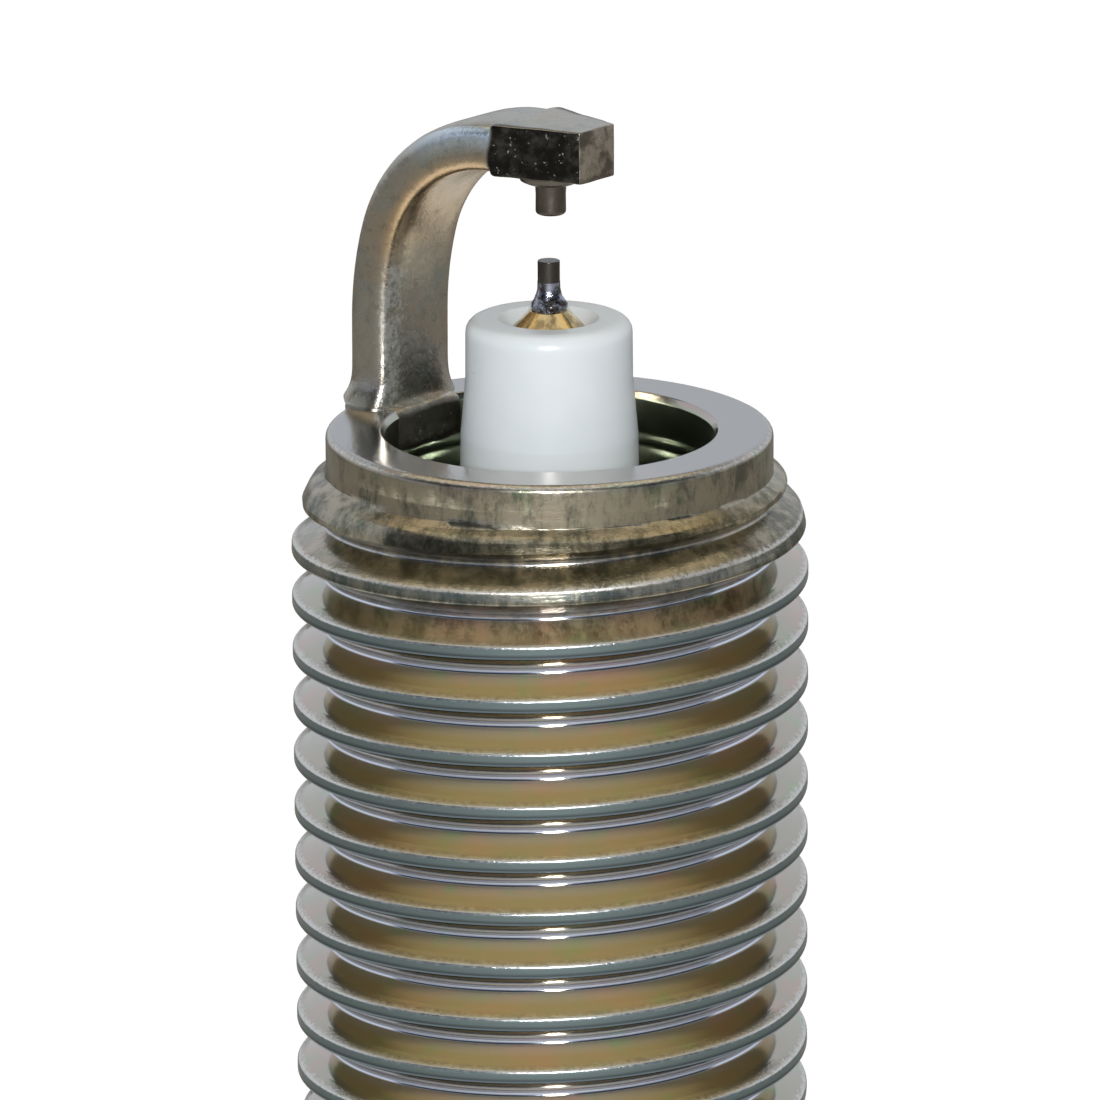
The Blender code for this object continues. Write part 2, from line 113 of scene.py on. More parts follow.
def ripple(points: Array, scale: float, seed: int, octaves: int = 3) -> Array:
    """Smooth uneven surface height between about -1 and 1.

    The height is a mean of sine waves, sin(k . p + phase), whose wave vectors k and phases come
    from a seeded generator and whose length doubles with each octave while their share halves.

    Args:
        points: Array of (..., 3) positions in millimetres.
        scale: Length of the longest wave in millimetres.
        seed: Seed of the generator.
        octaves: Number of wave lengths mixed.

    Returns:
        Heights of shape (...).
    """
    rng = np.random.default_rng(seed)
    total = np.zeros(points.shape[:-1])
    weight = 1.0
    for octave in range(octaves):
        vectors = rng.normal(size=(7, 3))
        vectors *= (TAU * 2.0 ** octave / scale) / np.linalg.norm(vectors, axis=1, keepdims=True)
        phases = rng.uniform(0.0, TAU, 7)
        total += weight * np.sin(points @ vectors.T + phases).mean(axis=-1) * 1.8
        weight *= 0.5
    return total / 1.75


def filleted(corners: list[tuple[float, float, float]], steps: int = 5) -> Array:
    """An outline whose corners are rounded by arcs.

    Each corner is replaced by the arc of its radius that touches both of its sides, with one more
    point a little outside each end of the arc so that flat stretches stay flat when shaded.

    Args:
        corners: Corners as (radius from the axis, height, fillet radius).
        steps: Stretches in each arc.

    Returns:
        Array of (n, 2) outline points.
    """
    points = np.array([c[:2] for c in corners], float)
    rows = [points[:1]]
    for i in range(1, len(corners) - 1):
        here, fillet = points[i], corners[i][2]
        back, ahead = points[i - 1] - here, points[i + 1] - here
        room = 0.42 * min(np.linalg.norm(back), np.linalg.norm(ahead))
        back, ahead = back / np.linalg.norm(back), ahead / np.linalg.norm(ahead)
        half = 0.5 * math.acos(float(np.clip(back @ ahead, -0.9999, 0.9999)))
        reach = min(fillet / math.tan(half), room)
        if fillet <= 0.0 or half > 1.55:
            rows.append(here[None])
            continue
        radius = reach * math.tan(half)
        centre = here + (back + ahead) / np.linalg.norm(back + ahead) * radius / math.sin(half)
        start, end = here + back * reach - centre, here + ahead * reach - centre
        span = math.acos(float(np.clip(start @ end / radius ** 2, -1.0, 1.0)))
        t = np.linspace(0.0, 1.0, steps + 1)[:, None]
        bow = (np.sin((1.0 - t) * span) * start + np.sin(t * span) * end) / math.sin(span)
        before, after = here + back * reach * 1.15, here + ahead * reach * 1.15
        rows += [before[None], centre + bow, after[None]]
    rows.append(points[-1:])
    return np.concatenate(rows)


def turned_grid(outline: Array, columns: int = COLUMNS) -> Array:
    """Carry a (radius, height) outline round Z: (r cos a, r sin a, z) for each angle a.

    Args:
        outline: Array of (n, 2) radii and heights.
        columns: Points round the axis.

    Returns:
        Grid of (n, columns, 3) points.
    """
    angle = np.arange(columns) * TAU / columns
    radius, height = outline[:, :1], outline[:, 1:]
    return np.stack([radius * np.cos(angle), radius * np.sin(angle),
                     np.broadcast_to(height, (len(outline), columns))], axis=-1)


def grid_faces(rows: int, columns: int, wrap_rows: bool, wrap_columns: bool) -> Array:
    """Quads between neighbours of a grid whose rows run down and whose columns run anticlockwise.

    Args:
        rows: Number of rows.
        columns: Number of columns.
        wrap_rows: Whether the last row joins the first.
        wrap_columns: Whether the last column joins the first.

    Returns:
        Array of (n, 4) vertex numbers.
    """
    row = np.arange(rows if wrap_rows else rows - 1)[:, None]
    column = np.arange(columns if wrap_columns else columns - 1)[None, :]
    below, beside = (row + 1) % rows, (column + 1) % columns
    corners = [row * columns + column, below * columns + column,
               below * columns + beside, row * columns + beside]
    return np.stack([c.reshape(-1) for c in corners], axis=-1)


@dataclass
class Surface:
    """A grid of points with its faces and its values at each point."""

    points: Array
    wrap_rows: bool = False
    wrap_columns: bool = True
    values: dict[str, Array] = field(default_factory=dict)

    def faces(self) -> Array:
        """Faces of this grid alone."""
        rows, columns = self.points.shape[:2]
        return grid_faces(rows, columns, self.wrap_rows, self.wrap_columns)


def make_piece(name: str, surfaces: list[Surface],
               material: bpy.types.Material) -> bpy.types.Object:
    """One closed mesh object from grids that meet edge to edge.

    Args:
        name: Name of the piece.
        surfaces: Grids in millimetres; each value is stored as a float attribute of the points.
        material: Finish of the piece.

    Returns:
        The object, at the origin, shaded smooth between its sharp edges.
    """
    points, faces, start = [], [], 0
    names = sorted({key for surface in surfaces for key in surface.values})
    values: dict[str, list[Array]] = {key: [] for key in names}
    for surface in surfaces:
        count = surface.points.shape[0] * surface.points.shape[1]
        points.append(surface.points.reshape(-1, 3) * MM)
        faces.append(surface.faces() + start)
        start += count
        for key in names:
            values[key].append(np.broadcast_to(
                surface.values.get(key, 0.0), surface.points.shape[:2]).reshape(-1))
    mesh = bpy.data.meshes.new(name)
    mesh.from_pydata(np.concatenate(points).tolist(), [], np.concatenate(faces).tolist())
    for key in names:
        layer = mesh.attributes.new(key, "FLOAT", "POINT")
        layer.data.foreach_set("value", np.concatenate(values[key]).astype(np.float32))
    work = bmesh.new()
    work.from_mesh(mesh)
    bmesh.ops.remove_doubles(work, verts=work.verts, dist=MERGE)
    bmesh.ops.dissolve_degenerate(work, dist=MERGE / 2.0, edges=work.edges)
    work.to_mesh(mesh)
    work.free()
    mesh.materials.append(material)
    mesh.shade_smooth()
    mesh.set_sharp_from_angle(angle=SHARP)
    obj = bpy.data.objects.new(name, mesh)
    bpy.context.scene.collection.objects.link(obj)
    log.info("%s: %d points, %d faces", name, len(mesh.vertices), len(mesh.polygons))
    return obj


def turned_piece(name: str, outline: Array, material: bpy.types.Material, ring: bool = False,
                 columns: int = COLUMNS, rough: float = 0.0) -> bpy.types.Object:
    """A piece turned about Z from its outline, which runs down its outer side.

    Args:
        name: Name of the piece.
        outline: Array of (n, 2) radii and heights.
        material: Finish of the piece.
        ring: Whether the outline closes on itself instead of ending on the axis.
        columns: Points round the axis.
        rough: Share of mottling over the whole piece.

    Returns:
        The piece.
    """
    values = {"rough": np.array([[rough]])} if rough else {}
    surface = Surface(turned_grid(outline, columns), wrap_rows=ring, values=values)
    return make_piece(name, [surface], material)


# ---------------------------------------------------------------- node trees

Colour = tuple[float, float, float]


def rgba(colour: Colour) -> tuple[float, float, float, float]:
    """A colour with full opacity."""
    return (*colour, 1.0)


class Tree:
    """A node tree with short calls that add and join nodes."""

    def __init__(self, tree: bpy.types.NodeTree) -> None:
        """Start from an existing tree."""
        self.tree = tree

    def add(self, kind: str, inputs: dict[str | int, object] | None = None,
            **settings: object) -> bpy.types.Node:
        """Add a node.

        Args:
            kind: Blender's name of the node type.
            inputs: Values or sockets for its inputs, by name or number.
            **settings: Properties of the node.

        Returns:
            The new node.
        """
        node = self.tree.nodes.new(kind)
        for key, value in settings.items():
            setattr(node, key, value)
        for key, value in (inputs or {}).items():
            socket = node.inputs[key]
            if isinstance(value, bpy.types.NodeSocket):
                self.tree.links.new(value, socket)
            else:
                socket.default_value = value
        return node

    def math(self, operation: str, *values: object) -> Socket:
        """The output of a Math node."""
        return self.add("ShaderNodeMath", dict(enumerate(values)), operation=operation).outputs[0]

    def add_scaled(self, value: object, factor: object, start: object) -> Socket:
        """The sum start + value * factor."""
        return self.math("MULTIPLY_ADD", value, factor, start)

    def stretch(self, vector: object, factors: object) -> Socket:
        """A vector multiplied by a factor on each axis."""
        return self.add("ShaderNodeVectorMath", {0: vector, 1: factors},
                        operation="MULTIPLY").outputs[0]

    def mix(self, share: object, first: object, second: object) -> Socket:
        """The output of a colour Mix node, whose colours may be given without opacity."""
        first, second = (value if isinstance(value, bpy.types.NodeSocket) else rgba(value)
                         for value in (first, second))
        return self.add("ShaderNodeMix", {0: share, 6: first, 7: second},
                        data_type="RGBA").outputs[2]

    def ramp(self, value: object, low: float, high: float, start: float = 0.0,
             end: float = 1.0) -> Socket:
        """A value mapped from low..high to start..end, clamped and smoothed."""
        return self.add("ShaderNodeMapRange", {0: value, 1: low, 2: high, 3: start, 4: end},
                        interpolation_type="SMOOTHSTEP").outputs[0]

    def noise(self, vector: object, scale: object, detail: float = 3.0,
              roughness: float = 0.55) -> Socket:
        """The value of a noise texture."""
        return self.add("ShaderNodeTexNoise", {"Vector": vector, "Scale": scale, "Detail": detail,
                                               "Roughness": roughness}).outputs[0]

    def attribute(self, name: str) -> Socket:
        """The value of a float attribute of the points."""
        return self.add("ShaderNodeAttribute", attribute_name=name).outputs["Fac"]

    def position(self) -> Socket:
        """Object coordinates."""
        return self.add("ShaderNodeTexCoord").outputs["Object"]


@dataclass(frozen=True)
class Port:
    """One input or output of a node group."""

    name: str
    kind: str = "NodeSocketFloat"
    value: object = None


class Effect:
    """A shader node group that several finishes share, made once."""

    made: dict[str, bpy.types.NodeTree] = {}
    name = "effect"
    inputs: tuple[Port, ...] = ()
    outputs: tuple[Port, ...] = ()

    def group(self) -> bpy.types.NodeTree:
        """The group's tree, built on first use.

        Returns:
            The tree, with a named socket for each port.
        """
        if self.name not in Effect.made:
            tree = bpy.data.node_groups.new(self.name, "ShaderNodeTree")
            for direction, ports in (("INPUT", self.inputs), ("OUTPUT", self.outputs)):
                for port in ports:
                    socket = tree.interface.new_socket(port.name, in_out=direction,
                                                       socket_type=port.kind)
                    if port.value is not None:
                        socket.default_value = port.value
            start, end = tree.nodes.new("NodeGroupInput"), tree.nodes.new("NodeGroupOutput")
            results = self.build(Tree(tree), start.outputs)
            for port, result in zip(self.outputs, results):
                tree.links.new(result, end.inputs[port.name])
            Effect.made[self.name] = tree
        return Effect.made[self.name]

    def build(self, tree: Tree, given: bpy.types.NodeOutputs) -> tuple[Socket, ...]:
        """Add the group's nodes.

        Args:
            tree: The group's tree.
            given: Sockets of the group's inputs.

        Returns:
            A socket for each output.
        """
        raise NotImplementedError

    def use(self, tree: Tree, inputs: dict[str | int, object]) -> bpy.types.NodeOutputs:
        """Place the group in a material with its own values and return its outputs."""
        return tree.add("ShaderNodeGroup", inputs, node_tree=self.group()).outputs


class Stain(Effect):
    """Passivation colours that drift over a plated surface in soft patches."""

    name = "passivation_stain"
    inputs = (Port("Vector", "NodeSocketVector"), Port("Scale", value=300.0),
              Port("Base", "NodeSocketColor"), Port("Warm", "NodeSocketColor"),
              Port("Cool", "NodeSocketColor"), Port("Amount", value=0.5))
    outputs = (Port("Color", "NodeSocketColor"),)

    def build(self, tree: Tree, given: bpy.types.NodeOutputs) -> tuple[Socket, ...]:
        """Mix the base towards a warm and a cool tint where two noises are high.

        Args:
            tree: The group's tree.
            given: Sockets of the group's inputs.

        Returns:
            A socket for each output.
        """
        broad = tree.noise(given["Vector"], given["Scale"], 4.0, 0.6)
        fine = tree.noise(given["Vector"], tree.math("MULTIPLY", given["Scale"], 2.7), 5.0, 0.65)
        warm = tree.math("MULTIPLY", tree.ramp(broad, 0.48, 0.66), given["Amount"])
        cool = tree.math("MULTIPLY", tree.ramp(fine, 0.52, 0.70), given["Amount"])
        mixed = tree.mix(warm, given["Base"], given["Warm"])
        return (tree.mix(cool, mixed, given["Cool"]),)


class Grain(Effect):
    """Fine unevenness of a worked metal surface: a height and a roughness share."""

    name = "metal_grain"
    inputs = (Port("Vector", "NodeSocketVector"), Port("Scale", value=3000.0),
              Port("Stretch", "NodeSocketVector", (1.0, 1.0, 1.0)))
    outputs = (Port("Height"), Port("Mask"))

    def build(self, tree: Tree, given: bpy.types.NodeOutputs) -> tuple[Socket, ...]:
        """Stretch the coordinates, then mix fine noise with sparse pits.

        Args:
            tree: The group's tree.
            given: Sockets of the group's inputs.

        Returns:
            A socket for each output.
        """
        vector = tree.stretch(given["Vector"], given["Stretch"])
        fine = tree.noise(vector, given["Scale"], 4.0, 0.7)
        broad = tree.noise(vector, tree.math("MULTIPLY", given["Scale"], 0.17), 3.0, 0.5)
        return fine, tree.math("MULTIPLY", broad, fine)


class Sparkle(Effect):
    """Bright broken specks along an edge or over a rough face."""

    name = "edge_sparkle"
    inputs = (Port("Vector", "NodeSocketVector"), Port("Edge", value=1.0),
              Port("Scale", value=6000.0), Port("Cover", value=0.5))
    outputs = (Port("Mask"), Port("Height"))

    def build(self, tree: Tree, given: bpy.types.NodeOutputs) -> tuple[Socket, ...]:
        """Keep the high parts of a coarse noise where the edge value is high.

        Args:
            tree: The group's tree.
            given: Sockets of the group's inputs.

        Returns:
            A socket for each output.
        """
        noise = tree.noise(given["Vector"], given["Scale"], 3.0, 0.7)
        level = tree.math("ADD", noise, tree.math("MULTIPLY", given["Edge"], given["Cover"]))
        mask = tree.math("MULTIPLY", tree.ramp(level, 0.72, 0.98), given["Edge"])
        return mask, noise


# ---------------------------------------------------------------- finishes

@dataclass(frozen=True)
class Finish:
    """A surface finish that makes one Principled material."""

    name: str
    roughness: float = 0.25
    metallic: float = 1.0

    def start(self) -> tuple[bpy.types.Material, Tree, bpy.types.Node]:
        """A new material with the finish's roughness and metallic share.

        Returns:
            The material, its tree and its shader.
        """
        material = bpy.data.materials.new(self.name)
        material.use_nodes = True
        shader = material.node_tree.nodes["Principled BSDF"]
        shader.inputs["Roughness"].default_value = self.roughness
        shader.inputs["Metallic"].default_value = self.metallic
        return material, Tree(material.node_tree), shader

    def dress(self, tree: Tree, shader: bpy.types.Node) -> None:
        """Join the finish's own nodes to the shader.

        Args:
            tree: The material's tree.
            shader: The Principled shader.
        """
        raise NotImplementedError

    def material(self) -> bpy.types.Material:
        """The material, made on first use.

        Returns:
            The finish's one material.
        """
        found = bpy.data.materials.get(self.name)
        if found is None:
            found, tree, shader = self.start()
            self.dress(tree, shader)
        return found

    @staticmethod
    def join(tree: Tree, shader: bpy.types.Node, colour: Socket, roughness: Socket | None,
             height: Socket, depth: float) -> None:
        """Feed the shader's colour, roughness and bump.

        Args:
            tree: The material's tree.
            shader: The Principled shader.
            colour: Colour over the surface.
            roughness: Roughness over the surface, or None where it is the same all over.
            height: Height over the surface, 0 to 1.
            depth: Metres that a height of 1 stands for.
        """
        bump = tree.add("ShaderNodeBump", {"Height": height, "Distance": depth, "Strength": 1.0})
        tree.tree.links.new(colour, shader.inputs["Base Color"])
        tree.tree.links.new(bump.outputs[0], shader.inputs["Normal"])
        if roughness is not None:
            tree.tree.links.new(roughness, shader.inputs["Roughness"])


@dataclass(frozen=True)
class PlatedSteel(Finish):
    """Zinc-plated steel with a faint iridescent passivation."""

    name: str = "passivated_zinc"
    roughness: float = 0.07
    base: Colour = (0.52, 0.49, 0.43)
    warm: Colour = (0.64, 0.46, 0.42)
    cool: Colour = (0.40, 0.55, 0.38)
    # Painted reflection tint mixed into the upper flanks.
    painted_pearl_reflection: Colour = (0.58, 0.52, 0.42)
    # Painted reflection tint of the lower flanks, which the upper flanks reflect as golden.
    painted_gold_reflection: Colour = (0.52, 0.42, 0.22)
    # Painted bluish reflection on the crest flat.
    painted_crest_reflection: Colour = (0.32, 0.41, 0.44)
    # Painted shade on the band under each crest.
    painted_crest_shade: Colour = (0.13, 0.16, 0.18)
    # Painted highlight along the thread's root.
    painted_root_highlight: Colour = (0.80, 0.84, 0.98)
    # Face colour where it is painted lighter as a highlight at the front and worn beside the arm's
    # foot.
    highlight_and_wear: Colour = (0.58, 0.54, 0.50)
    bore_green: Colour = (0.52, 0.56, 0.45)
    lavender: Colour = (0.49, 0.47, 0.45)
    bright: Colour = (0.84, 0.82, 0.78)
    mottle_light: Colour = (0.46, 0.40, 0.29)
    mottle_dark: Colour = (0.08, 0.085, 0.055)
    mottle_stretch: tuple[float, float, float] = (1.0, 1.0, 0.45)
    depth: float = 1.2e-5

    def dress(self, tree: Tree, shader: bpy.types.Node) -> None:
        """Mottle the plain bands and wear the crests bright; tint the flanks and the crest flat
        with painted reflection colours, paint shade under each crest and paint a highlight along
        each root.

        Args:
            tree: The material's tree.
            shader: The Principled shader.
        """
        place = tree.position()
        stain = Stain().use(tree, {"Vector": place, "Scale": 420.0, "Base": rgba(self.base),
                                   "Warm": rgba(self.warm), "Cool": rgba(self.cool),
                                   "Amount": 1.0})["Color"]
        coarse, crest = tree.attribute("rough"), tree.attribute("crest")
        mottle = tree.noise(tree.stretch(place, self.mottle_stretch), 1500.0, 7.0, 0.78)
        mottled = tree.mix(tree.ramp(mottle, 0.42, 0.62), self.mottle_light, self.mottle_dark)
        # Painted reflection tint: the upper flanks lean pearly.
        colour = tree.mix(tree.attribute("upper"), stain, tree.mix(0.45, stain, self.painted_pearl_reflection))
        # The lower flanks get a painted golden reflection tint, the crest flat a painted bluish
        # reflection, the band under each crest painted shade and the root a painted highlight.
        for name, tint in (("lower", self.painted_gold_reflection), ("top", self.painted_crest_reflection),
                           ("shade", self.painted_crest_shade), ("root", self.painted_root_highlight)):
            colour = tree.mix(tree.attribute(name), colour, tint)
        colour = tree.mix(tree.math("MULTIPLY", coarse, 0.8), colour, mottled)
        # pale lightens the rim face: a painted highlight on the camera's side and wear beside the
        # arm's foot.
        for name, tint in (("face", self.lavender), ("pale", self.highlight_and_wear),
                           ("bore", self.bore_green)):
            colour = tree.mix(tree.attribute(name), colour, tint)
        sparkle = Sparkle().use(tree, {"Vector": place, "Edge": crest, "Scale": 9000.0,
                                       "Cover": 0.5})
        colour = tree.mix(sparkle["Mask"], colour, self.bright)
        grain = Grain().use(tree, {"Vector": place, "Scale": 2600.0, "Stretch": (1.0, 1.0, 2.5)})
        rough = tree.add_scaled(coarse, 0.16, self.roughness)
        rough = tree.add_scaled(tree.attribute("bore"), 0.12, rough)
        rough = tree.add_scaled(crest, 0.22, rough)
        rough = tree.add_scaled(grain["Mask"], 0.10, rough)
        height = tree.math("MULTIPLY", grain["Height"], tree.add_scaled(coarse, 0.9, 0.10))
        worn = tree.math("MULTIPLY", sparkle["Height"], crest)
        self.join(tree, shader, colour, rough, tree.add_scaled(worn, 1.6, height), self.depth)


@dataclass(frozen=True)
class NickelAlloy(Finish):
    """Drawn nickel alloy: satin, warm grey, with bright worn edges, a painted highlight along one
    edge, painted reflection and highlight tints on the bend, and dark sheared faces.
    """

    name: str = "satin_nickel"
    roughness: float = 0.22
    base: Colour = (0.50, 0.47, 0.40)
    warm: Colour = (0.56, 0.44, 0.32)
    cool: Colour = (0.38, 0.43, 0.42)
    sheared: Colour = (0.022, 0.020, 0.017)
    blotched: Colour = (0.10, 0.095, 0.085)
    flecked: Colour = (0.45, 0.45, 0.42)
    veined: Colour = (0.20, 0.17, 0.14)
    fractured: Colour = (0.62, 0.55, 0.46)
    # Painted bluish-white reflection on the bend's side faces.
    painted_blue_reflection: Colour = (0.78, 0.86, 0.92)
    # Painted coppery highlight along the inner side of the bend.
    painted_copper_highlight: Colour = (0.66, 0.47, 0.28)
    dirty: Colour = (0.16, 0.15, 0.12)
    bright: Colour = (0.88, 0.85, 0.79)
    depth: float = 1.4e-5

    def dress(self, tree: Tree, shader: bpy.types.Node) -> None:
        """Drift the tint, paint a bluish reflection and a coppery highlight on the bend, brighten
        the edges in specks with one edge painted as a highlight, and darken the sheared faces.

        Args:
            tree: The material's tree.
            shader: The Principled shader.
        """
        place = tree.position()
        colour = Stain().use(tree, {"Vector": place, "Scale": 500.0, "Base": rgba(self.base),
                                    "Warm": rgba(self.warm), "Cool": rgba(self.cool),
                                    "Amount": 0.6})["Color"]
        # Painted reflection and highlight tints on the bend.
        for name, tint in (("blue", self.painted_blue_reflection), ("copper", self.painted_copper_highlight)):
            colour = tree.mix(tree.attribute(name), colour, tint)
        dirt = tree.ramp(tree.noise(place, 2600.0, 6.0, 0.75), 0.50, 0.72, 0.0, 0.45)
        colour = tree.mix(dirt, colour, self.dirty)
        cut, corner = tree.attribute("cut"), tree.attribute("edge")
        sparkle = Sparkle().use(tree, {"Vector": place, "Edge": corner, "Scale": 7000.0,
                                       "Cover": 0.36})
        colour = tree.mix(sparkle["Mask"], colour, self.bright)
        blotch = tree.ramp(tree.noise(place, 2300.0, 5.0, 0.7), 0.45, 0.75)
        dark = tree.mix(blotch, self.sheared, self.blotched)
        flecks = tree.ramp(tree.noise(place, 9000.0, 2.0), 0.66, 0.72)
        colour = tree.mix(cut, colour, tree.mix(flecks, dark, self.flecked))
        veins = tree.ramp(tree.noise(place, 1500.0, 5.0, 0.7), 0.40, 0.62)
        broken = tree.mix(veins, self.veined, self.fractured)
        colour = tree.mix(tree.attribute("end"), colour, broken)
        grain = Grain().use(tree, {"Vector": place, "Scale": 4200.0})
        rough = tree.add_scaled(cut, 0.10, tree.add_scaled(grain["Mask"], 0.25, self.roughness))
        worn = tree.math("MULTIPLY", sparkle["Height"], corner)
        height = tree.add_scaled(worn, 0.8, tree.math("MULTIPLY", grain["Height"], 1.1))
        self.join(tree, shader, colour, rough, height, self.depth)


@dataclass(frozen=True)
class PlainMetal(Finish):
    """A turned or drawn metal with grain and a slight drift of colour."""

    colour: Colour = (0.5, 0.5, 0.5)
    tint: Colour = (0.45, 0.42, 0.38)
    scale: float = 2500.0
    stretch: tuple[float, float, float] = (1.0, 1.0, 6.0)
    depth: float = 6.0e-6
    patch: float = 500.0
    rise: float = 1.0

    def dress(self, tree: Tree, shader: bpy.types.Node) -> None:
        """Drift between the two colours and cut fine marks round the piece.

        Args:
            tree: The material's tree.
            shader: The Principled shader.
        """
        place = tree.position()
        drawn = tree.stretch(place, (1.0, 1.0, self.rise))
        patches = tree.ramp(tree.noise(drawn, self.patch, 4.0), 0.42, 0.60)
        grain = Grain().use(tree, {"Vector": place, "Scale": self.scale, "Stretch": self.stretch})
        rough = tree.add_scaled(grain["Mask"], 0.2, self.roughness)
        self.join(tree, shader, tree.mix(patches, self.colour, self.tint), rough,
                  grain["Height"], self.depth)


@dataclass(frozen=True)
class Ceramic(Finish):
    """White alumina, bare and fine-grained at the nose; this one finish also stands for the glaze
    below the shell.
    """

    metallic: float = 0.0
    roughness: float = 0.2
    colour: Colour = (0.80, 0.84, 0.86)
    shade: Colour = (0.76, 0.81, 0.83)
    scatter: float = 0.35
    scatter_ratio: Colour = (0.9, 1.0, 1.05)
    scatter_depth: float = 0.0004
    depth: float = 3.0e-6

    def dress(self, tree: Tree, shader: bpy.types.Node) -> None:
        """A faint cloudiness in the white and a very fine grain.

        Args:
            tree: The material's tree.
            shader: The Principled shader.
        """
        place = tree.position()
        cloud = tree.ramp(tree.noise(place, 300.0, 3.0), 0.35, 0.70)
        grain = Grain().use(tree, {"Vector": place, "Scale": 4200.0})
        rough = tree.add_scaled(grain["Mask"], 0.12, self.roughness)
        shader.inputs["Subsurface Weight"].default_value = self.scatter
        shader.inputs["Subsurface Radius"].default_value = self.scatter_ratio
        shader.inputs["Subsurface Scale"].default_value = self.scatter_depth
        self.join(tree, shader, tree.mix(cloud, self.colour, self.shade), rough,
                  grain["Height"], self.depth)


@dataclass(frozen=True)
class Filling(Finish):
    """A packed or fused filling inside the plug: grains of two colours."""

    metallic: float = 0.0
    roughness: float = 0.6
    colour: Colour = (0.5, 0.5, 0.5)
    fleck: Colour = (0.3, 0.3, 0.3)
    cells: float = 4000.0
    depth: float = 3.0e-5

    def dress(self, tree: Tree, shader: bpy.types.Node) -> None:
        """Mix grains of two colours and pit the surface by a cell texture.

        Args:
            tree: The material's tree.
            shader: The Principled shader.
        """
        place = tree.position()
        grains = tree.add("ShaderNodeTexVoronoi", {"Vector": place, "Scale": self.cells})
        share = tree.ramp(tree.noise(place, self.cells * 0.6, 3.0), 0.45, 0.62)
        self.join(tree, shader, tree.mix(share, self.colour, self.fleck), None,
                  grains.outputs["Distance"], self.depth)


EVEN = (1.0, 1.0, 1.0)
PLATED = PlatedSteel()
NICKEL = NickelAlloy()
NOBLE = PlainMetal("dark_noble_tip", 0.2, 1.0, (0.11, 0.10, 0.09), (0.20, 0.18, 0.16), 6000.0,
                   EVEN, 1.0e-5)
CONE = PlainMetal("turned_nickel", 0.14, 1.0, (0.92, 0.70, 0.36), (0.44, 0.33, 0.17), 4000.0,
                  EVEN, 4.0e-6, 3200.0, 0.12)
BEAD = PlainMetal("weld_bead", 0.14, 1.0, (0.50, 0.52, 0.64), (0.10, 0.09, 0.09), 5200.0,
                  EVEN, 2.5e-5, 4200.0)
PIN = PlainMetal("ground_pin_metal", 0.24, 1.0, (0.22, 0.19, 0.15), (0.15, 0.13, 0.11), 5200.0,
                 EVEN, 1.2e-5)
TERMINAL = PlainMetal("turned_terminal", 0.2, 1.0, (0.46, 0.45, 0.43), (0.38, 0.37, 0.34),
                      2000.0, (1.0, 1.0, 9.0), 7.0e-6)
STEEL = PlainMetal("drawn_steel", 0.32, 1.0, (0.50, 0.49, 0.47), (0.42, 0.40, 0.37))
COPPER = PlainMetal("drawn_copper", 0.3, 1.0, (0.80, 0.42, 0.27), (0.60, 0.30, 0.20))
NOSE = Ceramic("white_alumina", 0.26)
GLASS_SEAL = Filling("copper_glass", 0.45, 0.0, (0.24, 0.20, 0.18), (0.50, 0.30, 0.20), 5000.0)
RESISTOR = Filling("carbon_glass", 0.5, 0.0, (0.08, 0.08, 0.09), (0.20, 0.20, 0.22), 3500.0)
TALC = Filling("packed_talc", 0.85, 0.0, (0.88, 0.87, 0.83), (0.76, 0.75, 0.72), 6000.0)


# ---------------------------------------------------------------- shell

